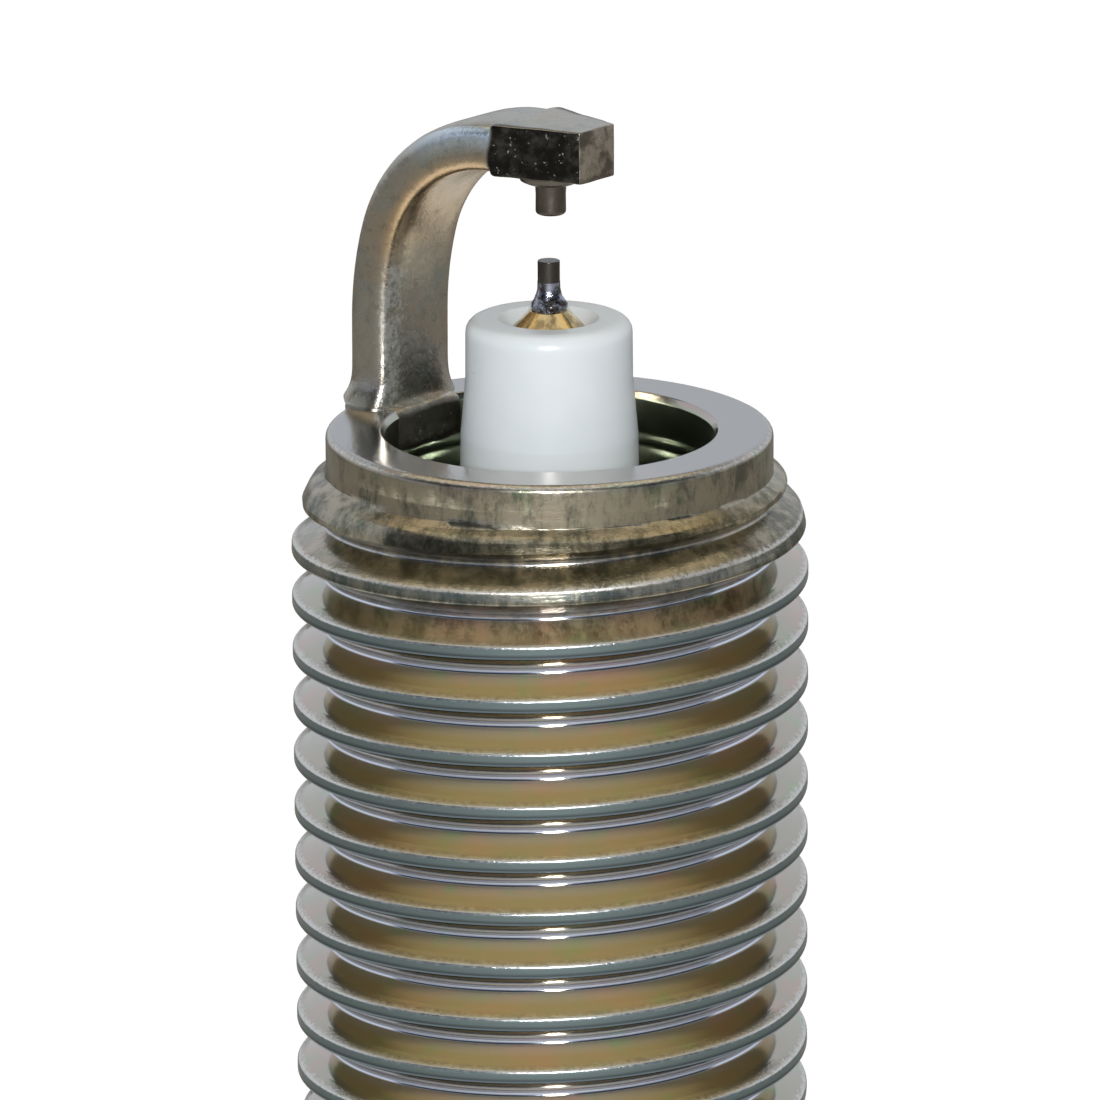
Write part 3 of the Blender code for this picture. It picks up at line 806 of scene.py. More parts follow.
@dataclass
class Thread:
    """A right-hand screw thread as one surface wound round a cylinder.

    At winding angle w, counted in turns from the start, the crest is at start - pitch * w. Across
    one pitch the radius is that of a 60 degree thread with a rounded root and a rounded crest,
    which stays cut off at the height that the crest has reached on the way in and out.
    """

    pitch: float
    crest: float
    root: float
    start: float
    start_angle: float
    top: float
    bottom: float
    top_radius: float
    bottom_radius: float
    shoulder: float
    run_in: float = 1.8
    run_in_power: float = 2.2
    run_out: float = 1.2
    crest_half: float = 0.134
    crest_fillet: float = 0.22
    columns: int = COLUMNS

    def profile(self) -> Array:
        """The turn's outline from half a pitch above its crest to half a pitch below.

        The root is an arc whose radius is the depth that it takes from the sharp V, and whose
        tangents are the flanks.

        Returns:
            Array of (n, 2) offsets from the crest and radii.
        """
        half = self.pitch / 2.0
        apex = self.crest - (half - self.crest_half) * FLANK_RISE
        radius = self.root - apex
        scale = self.pitch / SHANK_PITCH
        fillet = self.crest_fillet * scale
        side = filleted([(0.0, self.crest, 0.0), (self.crest_half, self.crest, fillet),
                         (half, apex, 0.0)], 4)
        root_start = half - radius * math.cos(math.radians(30.0))
        side = side[side[:, 0] < root_start - 0.01 * scale]
        flank = np.linspace(side[-1, 0], root_start, 4)[1:-1]
        flank = np.stack([flank, self.crest - (flank - self.crest_half) * FLANK_RISE], -1)
        angle = np.radians(np.linspace(60.0, 0.0, 6))
        arc = np.stack([half - radius * np.sin(angle),
                        self.root + radius * (1.0 - np.cos(angle))], -1)
        side = np.concatenate([side, flank, arc])
        mirrored = side[:0:-1] * np.array([-1.0, 1.0])
        return np.concatenate([mirrored, side]) * np.array([-1.0, 1.0])

    def surface(self) -> Surface:
        """The thread's grid, whose outer rows collapse on the circles at its two ends.

        The radius is the softened least of the full profile, the height that the crest has
        reached at that turn, and the shoulders that lead up from the plain bands at both ends.

        Returns:
            The grid, with values for the worn crest, the flanks and crest flat that get painted
            reflection tints, the painted shade under the crest, the painted highlight in the root,
            and mottling at each point.
        """
        profile = self.profile()
        length = (self.start - self.bottom) / self.pitch
        before = math.ceil((self.top - self.start) / self.pitch + 0.5) + 1
        stations = np.arange(-before * self.columns, int((length + 2.0) * self.columns) + 1)
        turn = stations / self.columns
        angle = self.start_angle - TAU * turn
        z = (self.start - self.pitch * turn)[:, None] + profile[None, :, 0]
        depth = self.crest - self.root
        depth_turn = (self.start - z) / self.pitch
        rise = 1.0 - (1.0 - np.clip(depth_turn / self.run_in, 0.0, 1.0)) ** self.run_in_power
        left = length - 0.55 - depth_turn
        fall = 1.0 - (1.0 - np.clip(left / self.run_out, 0.0, 1.0)) ** 2.0
        height = np.minimum(rise, fall)
        soft = 0.04 * depth
        reached = self.root + height * depth + soft
        upper_end = self.top_radius + np.maximum(self.shoulder - z, 0.0) * FLANK_RISE
        lower_end = self.bottom_radius + np.maximum(z - self.bottom - 0.1, 0.0) * FLANK_RISE
        radius = soft_least(np.broadcast_to(profile[None, :, 1], z.shape), reached, soft)
        radius = soft_least(radius, upper_end, soft)
        radius = soft_least(radius, lower_end, soft)
        radius = np.where(z >= self.top, self.top_radius, radius)
        radius = np.where(z <= self.bottom, self.bottom_radius, radius)
        z = np.clip(z, self.bottom, self.top)
        points = np.stack([radius * np.cos(angle[:, None]), radius * np.sin(angle[:, None]), z], -1)
        proud = np.clip((radius - self.root) / depth, 0.0, 1.0)
        offset = profile[None, :, 0] / (self.pitch / 2.0) * np.ones_like(z)
        above = profile[None, :, 0] / self.pitch * SHANK_PITCH * np.ones_like(z)
        formed = smooth_step(height, 0.2, 0.8)
        flank = smooth_step(proud, 0.02, 0.12)
        # The band just under each crest, which gets painted shade.
        under = smooth_step(-above, 0.03, 0.08) * (1.0 - smooth_step(-above, 0.18, 0.26))
        values = {
            "crest": np.exp(-((above - 0.15) / 0.06) ** 2) * formed,
            # The crest flat, which gets a painted bluish reflection.
            "top": (1.0 - smooth_step(np.abs(above), 0.10, 0.16)) * formed,
            "shade": under * formed,
            # The root, which gets a painted highlight line.
            "root": smooth_step(np.abs(offset), 0.84, 0.94) * smooth_step(height, 0.4, 0.8),
            # upper and lower mark the flanks for their painted reflection tints.
            "upper": smooth_step(offset, 0.06, 0.20) * flank,
            "lower": smooth_step(-offset, 0.06, 0.20) * flank,
            "rough": (1.0 - smooth_step(turn, 1.1, 1.9))[:, None] * np.ones_like(z),
        }
        return Surface(points.transpose(1, 0, 2)[:, ::-1], wrap_columns=False,
                       values={key: value.T[:, ::-1] for key, value in values.items()})


@dataclass
class Shell:
    """The plated steel shell from the rim to the rolled lip, as one closed surface."""

    rim_radius: float = 5.12
    bore_radius: float = 3.765
    neck_radius: float = 5.05
    flange_radius: float = 8.3
    groove_radius: float = 6.95
    across_flats: float = 16.0
    corner_radius: float = 9.0
    thread_top: float = RIM - 0.62
    barrel_bore: float = 3.99
    ledge_bore: float = 3.10
    nose_bore: float = 3.70
    head_bore: float = 5.75
    mark_depth: float = 0.022
    marks: tuple[float, ...] = (2.9, 2.35, 1.95, 1.35, 1.05)
    arm_foot: tuple[float, float] = (-4.6, -1.4)

    def thread(self) -> Thread:
        """The M12 x 1.25 thread along the reach."""
        return Thread(pitch=SHANK_PITCH, crest=5.93, root=5.18, start=RIM - 0.83,
                      start_angle=math.radians(40.0), top=self.thread_top,
                      bottom=Place.THREAD_END.value - 0.3, top_radius=self.rim_radius,
                      bottom_radius=self.neck_radius, shoulder=RIM - 1.0)

    def rim_outline(self) -> Array:
        """From the barrel up past the ledge and the bore, over the rim and down to the thread.

        Returns:
            Array of (n, 2) radii and heights, which ends on the thread's upper circle.
        """
        r, b = self.rim_radius, self.bore_radius
        cut = b + self.mark_depth
        corners = [(self.barrel_bore, -2.0, 0.0), (self.barrel_bore - 0.01, 6.30, 0.05),
                   (self.ledge_bore, 6.95, 0.08), (self.ledge_bore, 7.9, 0.08),
                   (self.nose_bore, 8.6, 0.1), (self.nose_bore, RIM - 4.2, 0.05),
                   (b, RIM - 4.1, 0.05)]
        for mark in self.marks:
            low = RIM - mark
            corners += [(b, low, 0.0), (cut, low + 0.05, 0.0), (cut, low + 0.13, 0.0),
                        (b, low + 0.16, 0.0)]
        corners += [(b, RIM - 0.16, 0.05), (b + 0.10, RIM, 0.05), (r, RIM, 0.18),
                    (r, self.thread_top, 0.0)]
        return filleted(corners, 5)

    def body_outline(self) -> Array:
        """From the thread over flange, groove, hexagon and rolled lip, and back up inside.

        Returns:
            Array of (n, 2) radii and heights, which ends where the rim's outline starts.
        """
        n, f, g, c = (self.neck_radius, self.flange_radius, self.groove_radius,
                      self.corner_radius)
        flat, head, barrel = self.across_flats / 2.0, self.head_bore, self.barrel_bore
        lip, face = 5.05, flat - 0.15
        thread, upper, lower = (Place.THREAD_END.value - 0.3, Place.FLANGE_TOP.value,
                                Place.FLANGE_BOTTOM.value)
        top, bottom, low = Place.HEX_TOP.value, Place.HEX_BOTTOM.value, Place.SHELL_BOTTOM.value
        corners = [(n, thread, 0.0), (n, upper, 0.15), (f, upper, 0.3), (f, lower, 0.5),
                   (g, lower - 0.25, 0.5), (g - 0.12, lower - 1.0, 0.8), (g, top + 0.25, 0.3),
                   (face, top, 0.15), (c, top - 0.8, 0.3), (c, bottom + 0.8, 0.3),
                   (face, bottom, 0.15), (g, bottom - 0.15, 0.3), (g, low + 0.9, 0.8),
                   (5.9, low, 0.6), (lip, low + 0.15, 0.3), (lip, low + 0.6, 0.2),
                   (head, low + 1.2, 0.3), (head, -4.9, 0.1), (barrel - 0.01, -3.6, 0.1),
                   (barrel, -2.0, 0.0)]
        return filleted(corners, 4)

    def hexagonal(self, grid: Array) -> Array:
        """Cut six flats: where the outline is in the hexagon's span, r = min(r, flat / cos d).

        d is the angle to the nearest flat's middle, and the flats face +X and every 60 degrees.

        Args:
            grid: Points of the round body.

        Returns:
            The same grid with the flats cut.
        """
        radius = np.hypot(grid[..., 0], grid[..., 1])
        angle = np.arctan2(grid[..., 1], grid[..., 0])
        sector = math.radians(60.0)
        off = (angle + sector / 2.0) % sector - sector / 2.0
        limit = self.across_flats / 2.0 / np.cos(off)
        height = grid[..., 2]
        inside = (height < Place.HEX_TOP.value + 0.02) & (height > Place.HEX_BOTTOM.value - 0.02)
        inside &= radius > self.groove_radius + 0.2
        new = np.where(inside, np.minimum(radius, limit), radius)
        return np.concatenate([grid[..., :2] * (new / radius)[..., None], grid[..., 2:]], -1)

    def rim_surface(self) -> Surface:
        """The rim with its band and bore, its face painted lighter towards the camera's side as a
        highlight and worn pale beside the arm's foot.

        Returns:
            The grid, with values for mottling, corner, face, the face's painted highlight and wear,
            and bore.
        """
        rim = self.rim_outline()
        grid = turned_grid(rim)
        radius, height = rim[:, :1], rim[:, 1:]
        band = smooth_step(radius, 4.9, 5.1) * (height < RIM - 0.1)
        corner = np.exp(-((height - RIM + 0.06) / 0.07) ** 2) * (radius > 4.8)
        face = 1.0 * ((height > RIM - 0.02) & (radius > 3.8))
        bore = 1.0 * ((radius < 3.9) & (height < RIM - 0.10))
        # The face is painted lighter towards the camera's side as a highlight; the patch round the
        # arm's foot is wear.
        front = np.cos(np.arctan2(grid[..., 1], grid[..., 0]) - VIEW_SIDE)
        foot = np.hypot(grid[..., 0] - self.arm_foot[0], grid[..., 1] - self.arm_foot[1])
        highlight_and_wear = smooth_step(front, 0.72, 0.97) + np.exp(-(foot / 0.75) ** 2)
        highlight_and_wear *= 0.75 + 0.5 * ripple(grid, 0.7, 51, 4)
        return Surface(grid, values={"rough": band * 0.9, "crest": corner * 0.7, "face": face,
                                     "pale": face * np.clip(highlight_and_wear, 0.0, 1.0), "bore": bore})

    def build(self) -> bpy.types.Object:
        """Make the shell's mesh and let it stand for its solid.

        Returns:
            The shell.
        """
        body_grid = self.hexagonal(turned_grid(self.body_outline()))
        surfaces = [self.rim_surface(), self.thread().surface(),
                    Surface(body_grid, values={"rough": np.array([[0.25]])})]
        shell = make_piece("plated_shell", surfaces, PLATED.material())
        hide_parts("shell")
        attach(shell, "plug")
        return shell


@dataclass
class Gasket:
    """The captive gasket, folded double, with its fold outside."""

    inner: float = 5.4
    outer: float = 7.9
    thickness: float = 1.62
    sheet: float = 0.5

    def build(self) -> bpy.types.Object:
        """Make the folded ring.

        Returns:
            The gasket.
        """
        i, o, t, s = self.inner, self.outer, self.thickness, self.sheet
        corners = [(6.4, 0.0, 0.0), (o - 0.35, 0.0, 0.6), (o, -t / 2.0, 0.6), (o - 0.35, -t, 0.6),
                   (i, -t, 0.16), (i, -t + s, 0.16), (o - 0.75, -t + s, 0.14),
                   (o - 0.75, -s, 0.14), (i, -s, 0.16), (i, 0.0, 0.16), (6.3, 0.0, 0.0)]
        gasket = turned_piece("folded_gasket", filleted(corners, 6), PLATED.material(),
                              ring=True, rough=0.5)
        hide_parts("gasket")
        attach(gasket, "gasket_ring")
        return gasket


# ---------------------------------------------------------------- insulator

@dataclass
class Insulator:
    """The white insulator: a rounded nose with a dished mouth, the barrel and the ribbed end."""

    ribs: int = 5
    rib_pitch: float = 2.9
    first_rib: float = -25.0
    head_radius: float = 4.9
    top: float = RIM + 2.60
    lip_radius: float = 1.14
    bore_radius: float = 0.95
    dish_depth: float = 0.34

    def outline(self) -> Array:
        """The closed outline from the nose's lip down the outside and back up the bore.

        Returns:
            Array of (n, 2) radii and heights.
        """
        top, lip, bore = self.top, self.lip_radius, self.bore_radius
        nose = [(lip, top, 0.0), (1.905, top, 0.72), (1.915, RIM + 1.2, 0.0),
                (2.03, RIM - 0.1, 0.3), (2.07, RIM - 2.0, 0.5), (2.75, 8.6, 0.3),
                (2.95, 8.2, 0.3), (2.95, 6.55, 0.1), (3.90, 5.85, 0.1), (3.90, -3.9, 0.3),
                (5.60, -5.2, 0.3), (5.60, -10.1, 0.3), (4.96, -10.8, 0.2), (4.96, -16.6, 0.5),
                (self.head_radius, -17.2, 0.5)]
        for rib in range(self.ribs):
            z = self.first_rib - rib * self.rib_pitch
            depth = self.head_radius - 0.55
            nose += [(self.head_radius, z, 0.5), (depth, z - 0.75, 0.5),
                     (depth, z - 1.2, 0.5), (self.head_radius, z - 1.95, 0.5)]
        low = Place.INSULATOR_BOTTOM.value
        nose += [(self.head_radius, low, 0.9), (2.18, low, 0.1), (1.98, low + 0.2, 0.1),
                 (1.98, 2.85, 0.1), (bore, 3.6, 0.1), (bore, top - 0.42, 0.1), (lip, top, 0.0)]
        return filleted(nose, 5)

    def dished(self, outline: Array) -> Array:
        """Round the mouth from its lip down to the bore along a quarter of an ellipse.

        Args:
            outline: Radii and heights with a sharp mouth.

        Returns:
            The outline with the mouth rounded.
        """
        radius, height = outline[:, 0], outline[:, 1]
        lip = (radius < 1.3) & (height > self.top - 0.5)
        t = np.clip((self.lip_radius + 0.02 - radius) / 0.22, 0.0, 1.0)
        sunk = self.top - self.dish_depth * (1.0 - np.sqrt(1.0 - t ** 2))
        return np.stack([radius, np.where(lip, np.minimum(height, sunk), height)], -1)

    def build(self) -> bpy.types.Object:
        """Make the insulator's mesh and let it stand for its solid.

        Returns:
            The insulator.
        """
        outline = self.dished(self.outline())[:-1]
        piece = turned_piece("ceramic_insulator", outline, NOSE.material(), ring=True)
        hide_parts("insulator")
        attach(piece, "plug")
        return piece


# ---------------------------------------------------------------- electrodes

@dataclass
class CentreElectrode:
    """The nickel cone, its laser-weld bead and the fine tip."""

    columns: int = 96
    cone_top: float = RIM + 2.77
    bead_top: float = RIM + 3.45
    bead_radius: float = 0.42
    tip_radius: float = 0.255
    tip_top: float = RIM + 3.94

    def cone(self) -> bpy.types.Object:
        """The nickel electrode with its head inside and its cone outside."""
        top, shaft, head = self.cone_top + 0.01, 0.91, 1.70
        outline = filleted([(0.0, top, 0.0), (0.43, top, 0.03), (shaft, RIM + 2.30, 0.05),
                            (shaft, 3.56, 0.1), (head, 2.81, 0.1), (head, 1.33, 0.1),
                            (0.52, 1.33, 0.03), (0.52, RIM - 1.7, 0.05),
                            (0.0, RIM - 1.4, 0.0)], 5)
        return turned_piece("electrode_cone", outline, CONE.material(), columns=self.columns)

    def bead(self) -> bpy.types.Object:
        """The weld bead: an ellipse that narrows along a power curve to the tip, roughened.

        With t the height from the cone in units of 0.66 mm, the radius is the lesser of
        0.42 sqrt(1 - ((t - 0.30) / 0.95)^2) and 0.262 + 0.5 (0.78 - t)^1.7.

        Returns:
            The bead.
        """
        z = np.linspace(self.bead_top, self.cone_top - 0.02, 60)
        t = (z - self.cone_top) / 0.66
        bulge = self.bead_radius * np.sqrt(np.clip(1.0 - ((t - 0.30) / 0.95) ** 2, 0.0, 1.0))
        neck = 0.262 + 0.5 * np.clip(0.78 - t, 0.0, 1.0) ** 1.7
        radius = np.maximum(np.minimum(bulge, neck), self.tip_radius + 0.001)
        outline = np.concatenate([[[0.0, z[0]]], np.stack([radius, z], -1), [[0.0, z[-1]]]])
        grid = turned_grid(outline, self.columns)
        swell = 0.028 * ripple(grid, 0.42, 5, 3)
        share = np.concatenate([[0.0], 1.0 - smooth_step(t, 0.55, 0.98), [0.0]])[:, None]
        grid[..., :2] *= 1.0 + (swell * share / 0.38)[..., None]
        return make_piece("weld_bead", [Surface(grid)], BEAD.material())

    def tip(self) -> bpy.types.Object:
        """The fine tip, down into the bead."""
        r, top, low = self.tip_radius, self.tip_top, RIM + 3.40
        outline = filleted([(0.0, top, 0.0), (r, top, 0.02), (r, low, 0.0), (0.0, low, 0.0)], 4)
        return turned_piece("fine_tip", outline, NOBLE.material(), columns=self.columns)

    def build(self) -> list[bpy.types.Object]:
        """Make cone, bead and tip.

        Returns:
            The three pieces.
        """
        cone, bead, tip = self.cone(), self.bead(), self.tip()
        for piece, node, slot in ((cone, "centre_electrode", "nickel_alloy"),
                                  (bead, "centre_tip_weld", "nickel_alloy"),
                                  (tip, "centre_tip", "noble_metal")):
            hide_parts(node)
            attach(piece, "plug")
        return [cone, bead, tip]


@dataclass
class GroundElectrode:
    """The bent bar over the gap with its tapered end, the weld flash, the pad and the pin.

    The bar's outer side is a straight of 2.0 mm, an easy bend of 8.2 mm radius, a tight bend of
    4.1 mm radius and a level run to the end. Its section is |a/h|^n + |b/d|^n = 1, whose power n
    rises from 5, a drawn bar with soft corners, to 40, a sheared one, along the taper.
    """

    width: float = 2.46
    thickness: float = 1.2
    outer_x: float = -5.10
    lean: float = math.radians(0.4)
    straight: float = 2.0
    bends: tuple[tuple[float, float], ...] = ((8.2, math.radians(16.2)), (4.1, math.radians(73.2)))
    end_x: float = 1.42
    end_width: float = 1.23
    taper_x: float = -0.75
    soft_power: float = 5.0
    sharp_power: float = 40.0
    steps: int = 7

    def path(self) -> tuple[Array, Array, Array]:
        """The bar's outer side, added up in small steps along its changing heading.

        Returns:
            x, height above the rim, and heading at each station.
        """
        lengths = [self.straight] + [radius * turn for radius, turn in self.bends]
        curvature = [0.0] + [1.0 / radius for radius, _ in self.bends]
        s = np.linspace(0.0, 14.0, 1401)
        bend = np.zeros_like(s)
        start = 0.0
        for length, curve in zip(lengths, curvature):
            bend += curve * np.clip(s - start, 0.0, length)
            start += length
        heading = math.pi / 2.0 - self.lean - bend
        step = s[1] - s[0]
        middle = (heading[1:] + heading[:-1]) / 2.0
        x = self.outer_x + np.concatenate([[0.0], np.cumsum(np.cos(middle) * step)])
        z = np.concatenate([[0.0], np.cumsum(np.sin(middle) * step)])
        keep = np.interp(self.end_x, x, s)
        edge = np.interp(self.taper_x, x, s)
        even = np.concatenate([np.linspace(0.0, 0.6, 16)[:-1], np.linspace(0.6, edge, 110)[:-1],
                               np.linspace(edge, keep, 60)])
        return np.interp(even, s, x), np.interp(even, s, z), np.interp(even, s, heading)

    def section(self, half: Array, power: Array) -> tuple[Array, Array, Array]:
        """Points round each row's section, and how near each is to a corner.

        At direction f from the middle the section lies (|cos f/h|^n + |sin f/d|^n)^(-1/n) away.
        The directions crowd towards the corners, so that a sharp corner keeps its shape.

        Args:
            half: Half width h of each row.
            power: Power n of each row.

        Returns:
            Distances across the bar, distances in from its outer side, and nearness, 0 to 1.
        """
        deep = self.thickness / 2.0
        u = np.arange(2 * self.steps + 1) / self.steps
        corner = np.arctan2(deep, half)[:, None]
        rising = corner * (1.0 - (1.0 - np.minimum(u, 1.0)) ** 1.9)
        quarter = rising + (math.pi / 2.0 - corner) * (np.maximum(u, 1.0) - 1.0) ** 1.9
        turn = np.concatenate([quarter[:, :-1], math.pi - quarter[:, :0:-1]], 1)
        angle = np.concatenate([turn, turn + math.pi], 1)
        near = 1.0 - np.abs(u - 1.0)
        nearness = np.tile(np.concatenate([near[:-1], near[:0:-1]]), 2)
        h, n = half[:, None], power[:, None]
        reach = (np.abs(np.cos(angle) / h) ** n + np.abs(np.sin(angle) / deep) ** n) ** (-1.0 / n)
        return reach * np.cos(angle), deep + reach * np.sin(angle), nearness[None, :]

    def bar_surface(self) -> Surface:
        """The bar's grid, closed at both ends, with its foot spread over the rim.

        Returns:
            The grid, with values for worn edges with one painted edge highlight, sheared faces, and
            painted reflection and highlight tints.
        """
        x, z, heading = self.path()
        share = np.clip((x - self.taper_x) / (self.end_x - self.taper_x), 0.0, 1.0)
        half = self.width / 2.0 - share * (self.width - self.end_width) / 2.0
        power = self.soft_power + (self.sharp_power - self.soft_power) * np.clip(
            share * 14.0, 0.0, 1.0)
        foot = np.where(x < -3.0, np.clip(1.0 - z, 0.0, 1.0) ** 3, 0.0)
        across, inward, nearness = self.section(half + 0.30 * foot, power)
        inward = inward - 0.30 * foot[:, None] * (inward < self.thickness / 2.0)
        end = np.array([0.985, 0.93, 0.0])
        repeat = np.concatenate([[0], np.arange(len(x)), np.full(3, len(x) - 1)])
        scale = np.concatenate([[0.0], np.ones(len(x)), end])[:, None]
        middle = self.thickness / 2.0
        across = across[repeat] * scale
        inward = middle + (inward[repeat] - middle) * scale
        push = np.concatenate([np.zeros(len(x) + 1), [0.016, 0.022, 0.022]])
        sin, cos = np.sin(heading[repeat])[:, None], np.cos(heading[repeat])[:, None]
        px = x[repeat][:, None] + inward * sin + push[:, None] * cos
        pz = RIM + z[repeat][:, None] - inward * cos + push[:, None] * sin
        pz[:2] -= 0.14
        points = np.stack([px, across, pz], -1)
        station = x[repeat][:, None] * np.ones_like(px)
        dents = ripple(points, 0.9, 11, 4) * 0.010 + ripple(points, 3.0, 12, 2) * 0.012
        sheared = smooth_step(station, self.taper_x - 0.1, self.taper_x + 0.1)
        points[..., 2] += dents * (0.4 + 0.6 * sheared)
        points[..., 1] += ripple(points, 1.3, 13, 4) * 0.014 * (0.3 + 0.7 * sheared)
        out = np.hypot(points[..., 0], points[..., 1])
        limit = 5.10 + 0.9 * np.clip(points[..., 2] - RIM - 0.02, 0.0, 9.0)
        points[..., :2] *= (np.minimum(out, limit) / out)[..., None]
        inner = 0.35 + 0.65 * (inward > middle)
        height = (points[..., 2] - RIM) * np.ones_like(px)
        # A painted highlight along the inner face's corner on the camera's side, low on the bar;
        # the weaker term below is wear on every corner.
        highlight_and_wear = (1.0 - smooth_step(height, 3.0, 4.4)) * (inward > middle) * (across < 0.0)
        edge = np.minimum(1.9 * nearness ** 1.2, 1.0) * highlight_and_wear
        edge = edge + 0.4 * nearness ** 4 * inner * (1.0 - highlight_and_wear)
        edge *= 1.0 - smooth_step(station, self.taper_x - 0.4, self.taper_x)
        flat = np.abs(across) > 0.9 * np.abs(across).max(axis=1, keepdims=True)
        scallop = 0.06 * np.sin(4.0 * inward + 1.0)
        begun = smooth_step(station, self.taper_x + scallop - 0.05, self.taper_x + scallop + 0.05)
        side = (flat & (nearness < 0.96)) * (scale > 0.99)
        end_face = (scale < 0.99) * (station > 0.0)
        bent = smooth_step(height, 2.6, 4.6) * (1.0 - begun)
        turned = 1.0 - heading[repeat][:, None] / (math.pi / 2.0)
        # A painted bluish-white reflection on the outer half of the side faces, late in the bend.
        blue = bent * smooth_step(middle - inward, -0.12, 0.15) * flat
        blue *= smooth_step(turned, 0.50, 0.85)
        # A painted coppery highlight in a strip near the inner corners, along the bend.
        copper = bent * np.exp(-((inward - 1.7 * middle) / 0.22) ** 2) * (inward > middle)
        return Surface(points, values={"edge": edge, "cut": side * begun, "end": end_face * 1.0,
                                       "blue": blue, "copper": copper})

    def flash_surface(self) -> Surface:
        """Metal squeezed into the bore by the weld and sheared to a flat facet.

        The lump is |x/a|^p + |y/b|^p + |z/c|^p = 1 with p = 5, roughened, and clipped where it
        would stand nearer to the axis than the facet.

        Returns:
            The lump's grid, with values for its worn edge and its sheared facet.
        """
        rows, columns, power = 40, 72, 5.0
        polar = np.linspace(0.0, math.pi, rows)[:, None]
        round_z = np.arange(columns)[None, :] * TAU / columns
        unit = np.stack([np.sin(polar) * np.cos(round_z), np.sin(polar) * np.sin(round_z),
                         np.cos(polar) * np.ones_like(round_z)], -1)
        size = np.array([0.52, 1.34, 0.54])
        scale = (np.abs(unit / size) ** power).sum(-1) ** (-1.0 / power)
        points = unit * scale[..., None]
        points *= 1.0 + 0.05 * ripple(points, 0.7, 23, 4)[..., None]
        points += np.array([-4.08, 0.0, RIM - 0.49])
        points[..., 0] = np.minimum(points[..., 0], -3.58 + 0.012 * ripple(points, 0.5, 31, 3))
        facet = smooth_step(points[..., 0], -3.66, -3.60)
        low = smooth_step(-points[..., 2], -(RIM - 0.75), -(RIM - 0.95))
        edge = np.maximum(1.0 - facet, low) * 0.8
        return Surface(points, values={"edge": edge, "cut": facet * 0.72})

    def build(self) -> list[bpy.types.Object]:
        """Make the bar with its flash, the pad and the pin.

        Returns:
            The four pieces.
        """
        bar = make_piece("bent_bar", [self.bar_surface()], NICKEL.material())
        flash = make_piece("weld_flash", [self.flash_surface()], NICKEL.material())
        off = np.array([0.07, 0.0, 0.0])
        pad_outline = filleted([(0.0, RIM + 5.99, 0.0), (0.74, RIM + 5.99, 0.03),
                                (0.70, RIM + 5.84, 0.05), (0.55, RIM + 5.77, 0.04),
                                (0.0, RIM + 5.76, 0.0)], 4)
        pad_grid = turned_grid(pad_outline, 72)
        pad_grid[..., :2] *= 1.0 + 0.02 * ripple(pad_grid, 0.6, 41, 3)[..., None]
        pad = make_piece("pin_pad", [Surface(pad_grid + off)], PIN.material())
        pin_outline = filleted([(0.0, RIM + 5.80, 0.0), (0.36, RIM + 5.80, 0.02),
                                (0.345, RIM + 5.5, 0.1), (0.35, RIM + 5.04, 0.09),
                                (0.0, RIM + 5.03, 0.0)], 5)
        pin_grid = turned_grid(pin_outline, 72) + off
        pin = make_piece("ground_pin", [Surface(pin_grid)], PIN.material())
        for piece, node, slot in ((bar, "ground_electrode", "nickel_alloy"),
                                  (flash, "ground_electrode", "nickel_alloy"),
                                  (pad, "ground_tip_pad", "nickel_alloy"),
                                  (pin, "ground_tip", "noble_metal")):
            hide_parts(node)
            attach(piece, "plug")
        return [bar, flash, pad, pin]


# ---------------------------------------------------------------- terminal

@dataclass
class Terminal:
    """The stud with its M4 end and the screwed nut."""

    nut_radius: float = 3.15
    waist: float = 2.7

    def build(self) -> list[bpy.types.Object]:
        """Make the stud, with its thread, and the nut.

        Returns:
            Both pieces.
        """
        end = Place.INSULATOR_BOTTOM.value
        low = Place.STUD_BOTTOM.value
        upper = filleted([(0.0, -12.23, 0.0), (1.45, -12.23, 0.1), (1.45, end + 1.2, 0.1),
                          (1.90, end + 0.8, 0.05), (1.90, end - 0.03, 0.0), (2.9, end - 0.03, 0.08),
                          (2.9, -43.7, 0.12), (1.62, -43.7, 0.05), (1.62, -43.95, 0.0)], 4)
        thread = Thread(pitch=0.7, crest=1.97, root=1.56, start=-43.6, start_angle=0.0, top=-43.95,
                        bottom=low + 0.35, top_radius=1.62, bottom_radius=1.62,
                        shoulder=-44.0, run_in=0.6, run_out=0.5, crest_half=0.07, columns=72)
        lower = filleted([(1.62, low + 0.35, 0.0), (1.62, low + 0.2, 0.05), (1.45, low, 0.08),
                          (0.0, low, 0.0)], 4)
        stud = make_piece("stud_with_thread", [Surface(turned_grid(upper, 72)), thread.surface(),
                                               Surface(turned_grid(lower, 72))], STEEL.material())
        r, w, top = self.nut_radius, self.waist, -43.75
        nut = filleted([(0.0, low - 0.45, 0.0), (2.04, low - 0.1, 0.1), (2.04, top - 0.25, 0.05),
                        (2.25, top, 0.05), (r, top, 0.4), (r, top - 1.6, 0.25), (w, top - 2.3, 0.4),
                        (w, top - 3.5, 0.4), (r, top - 4.2, 0.3), (r, -50.5, 0.9),
                        (0.0, -50.5, 0.0)], 7)
        nut_piece = turned_piece("screwed_nut", nut, TERMINAL.material(), columns=96)
        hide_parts("terminal_stud")
        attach(stud, "plug")
        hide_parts("terminal_nut")
        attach(nut_piece, "terminal")
        return [stud, nut_piece]


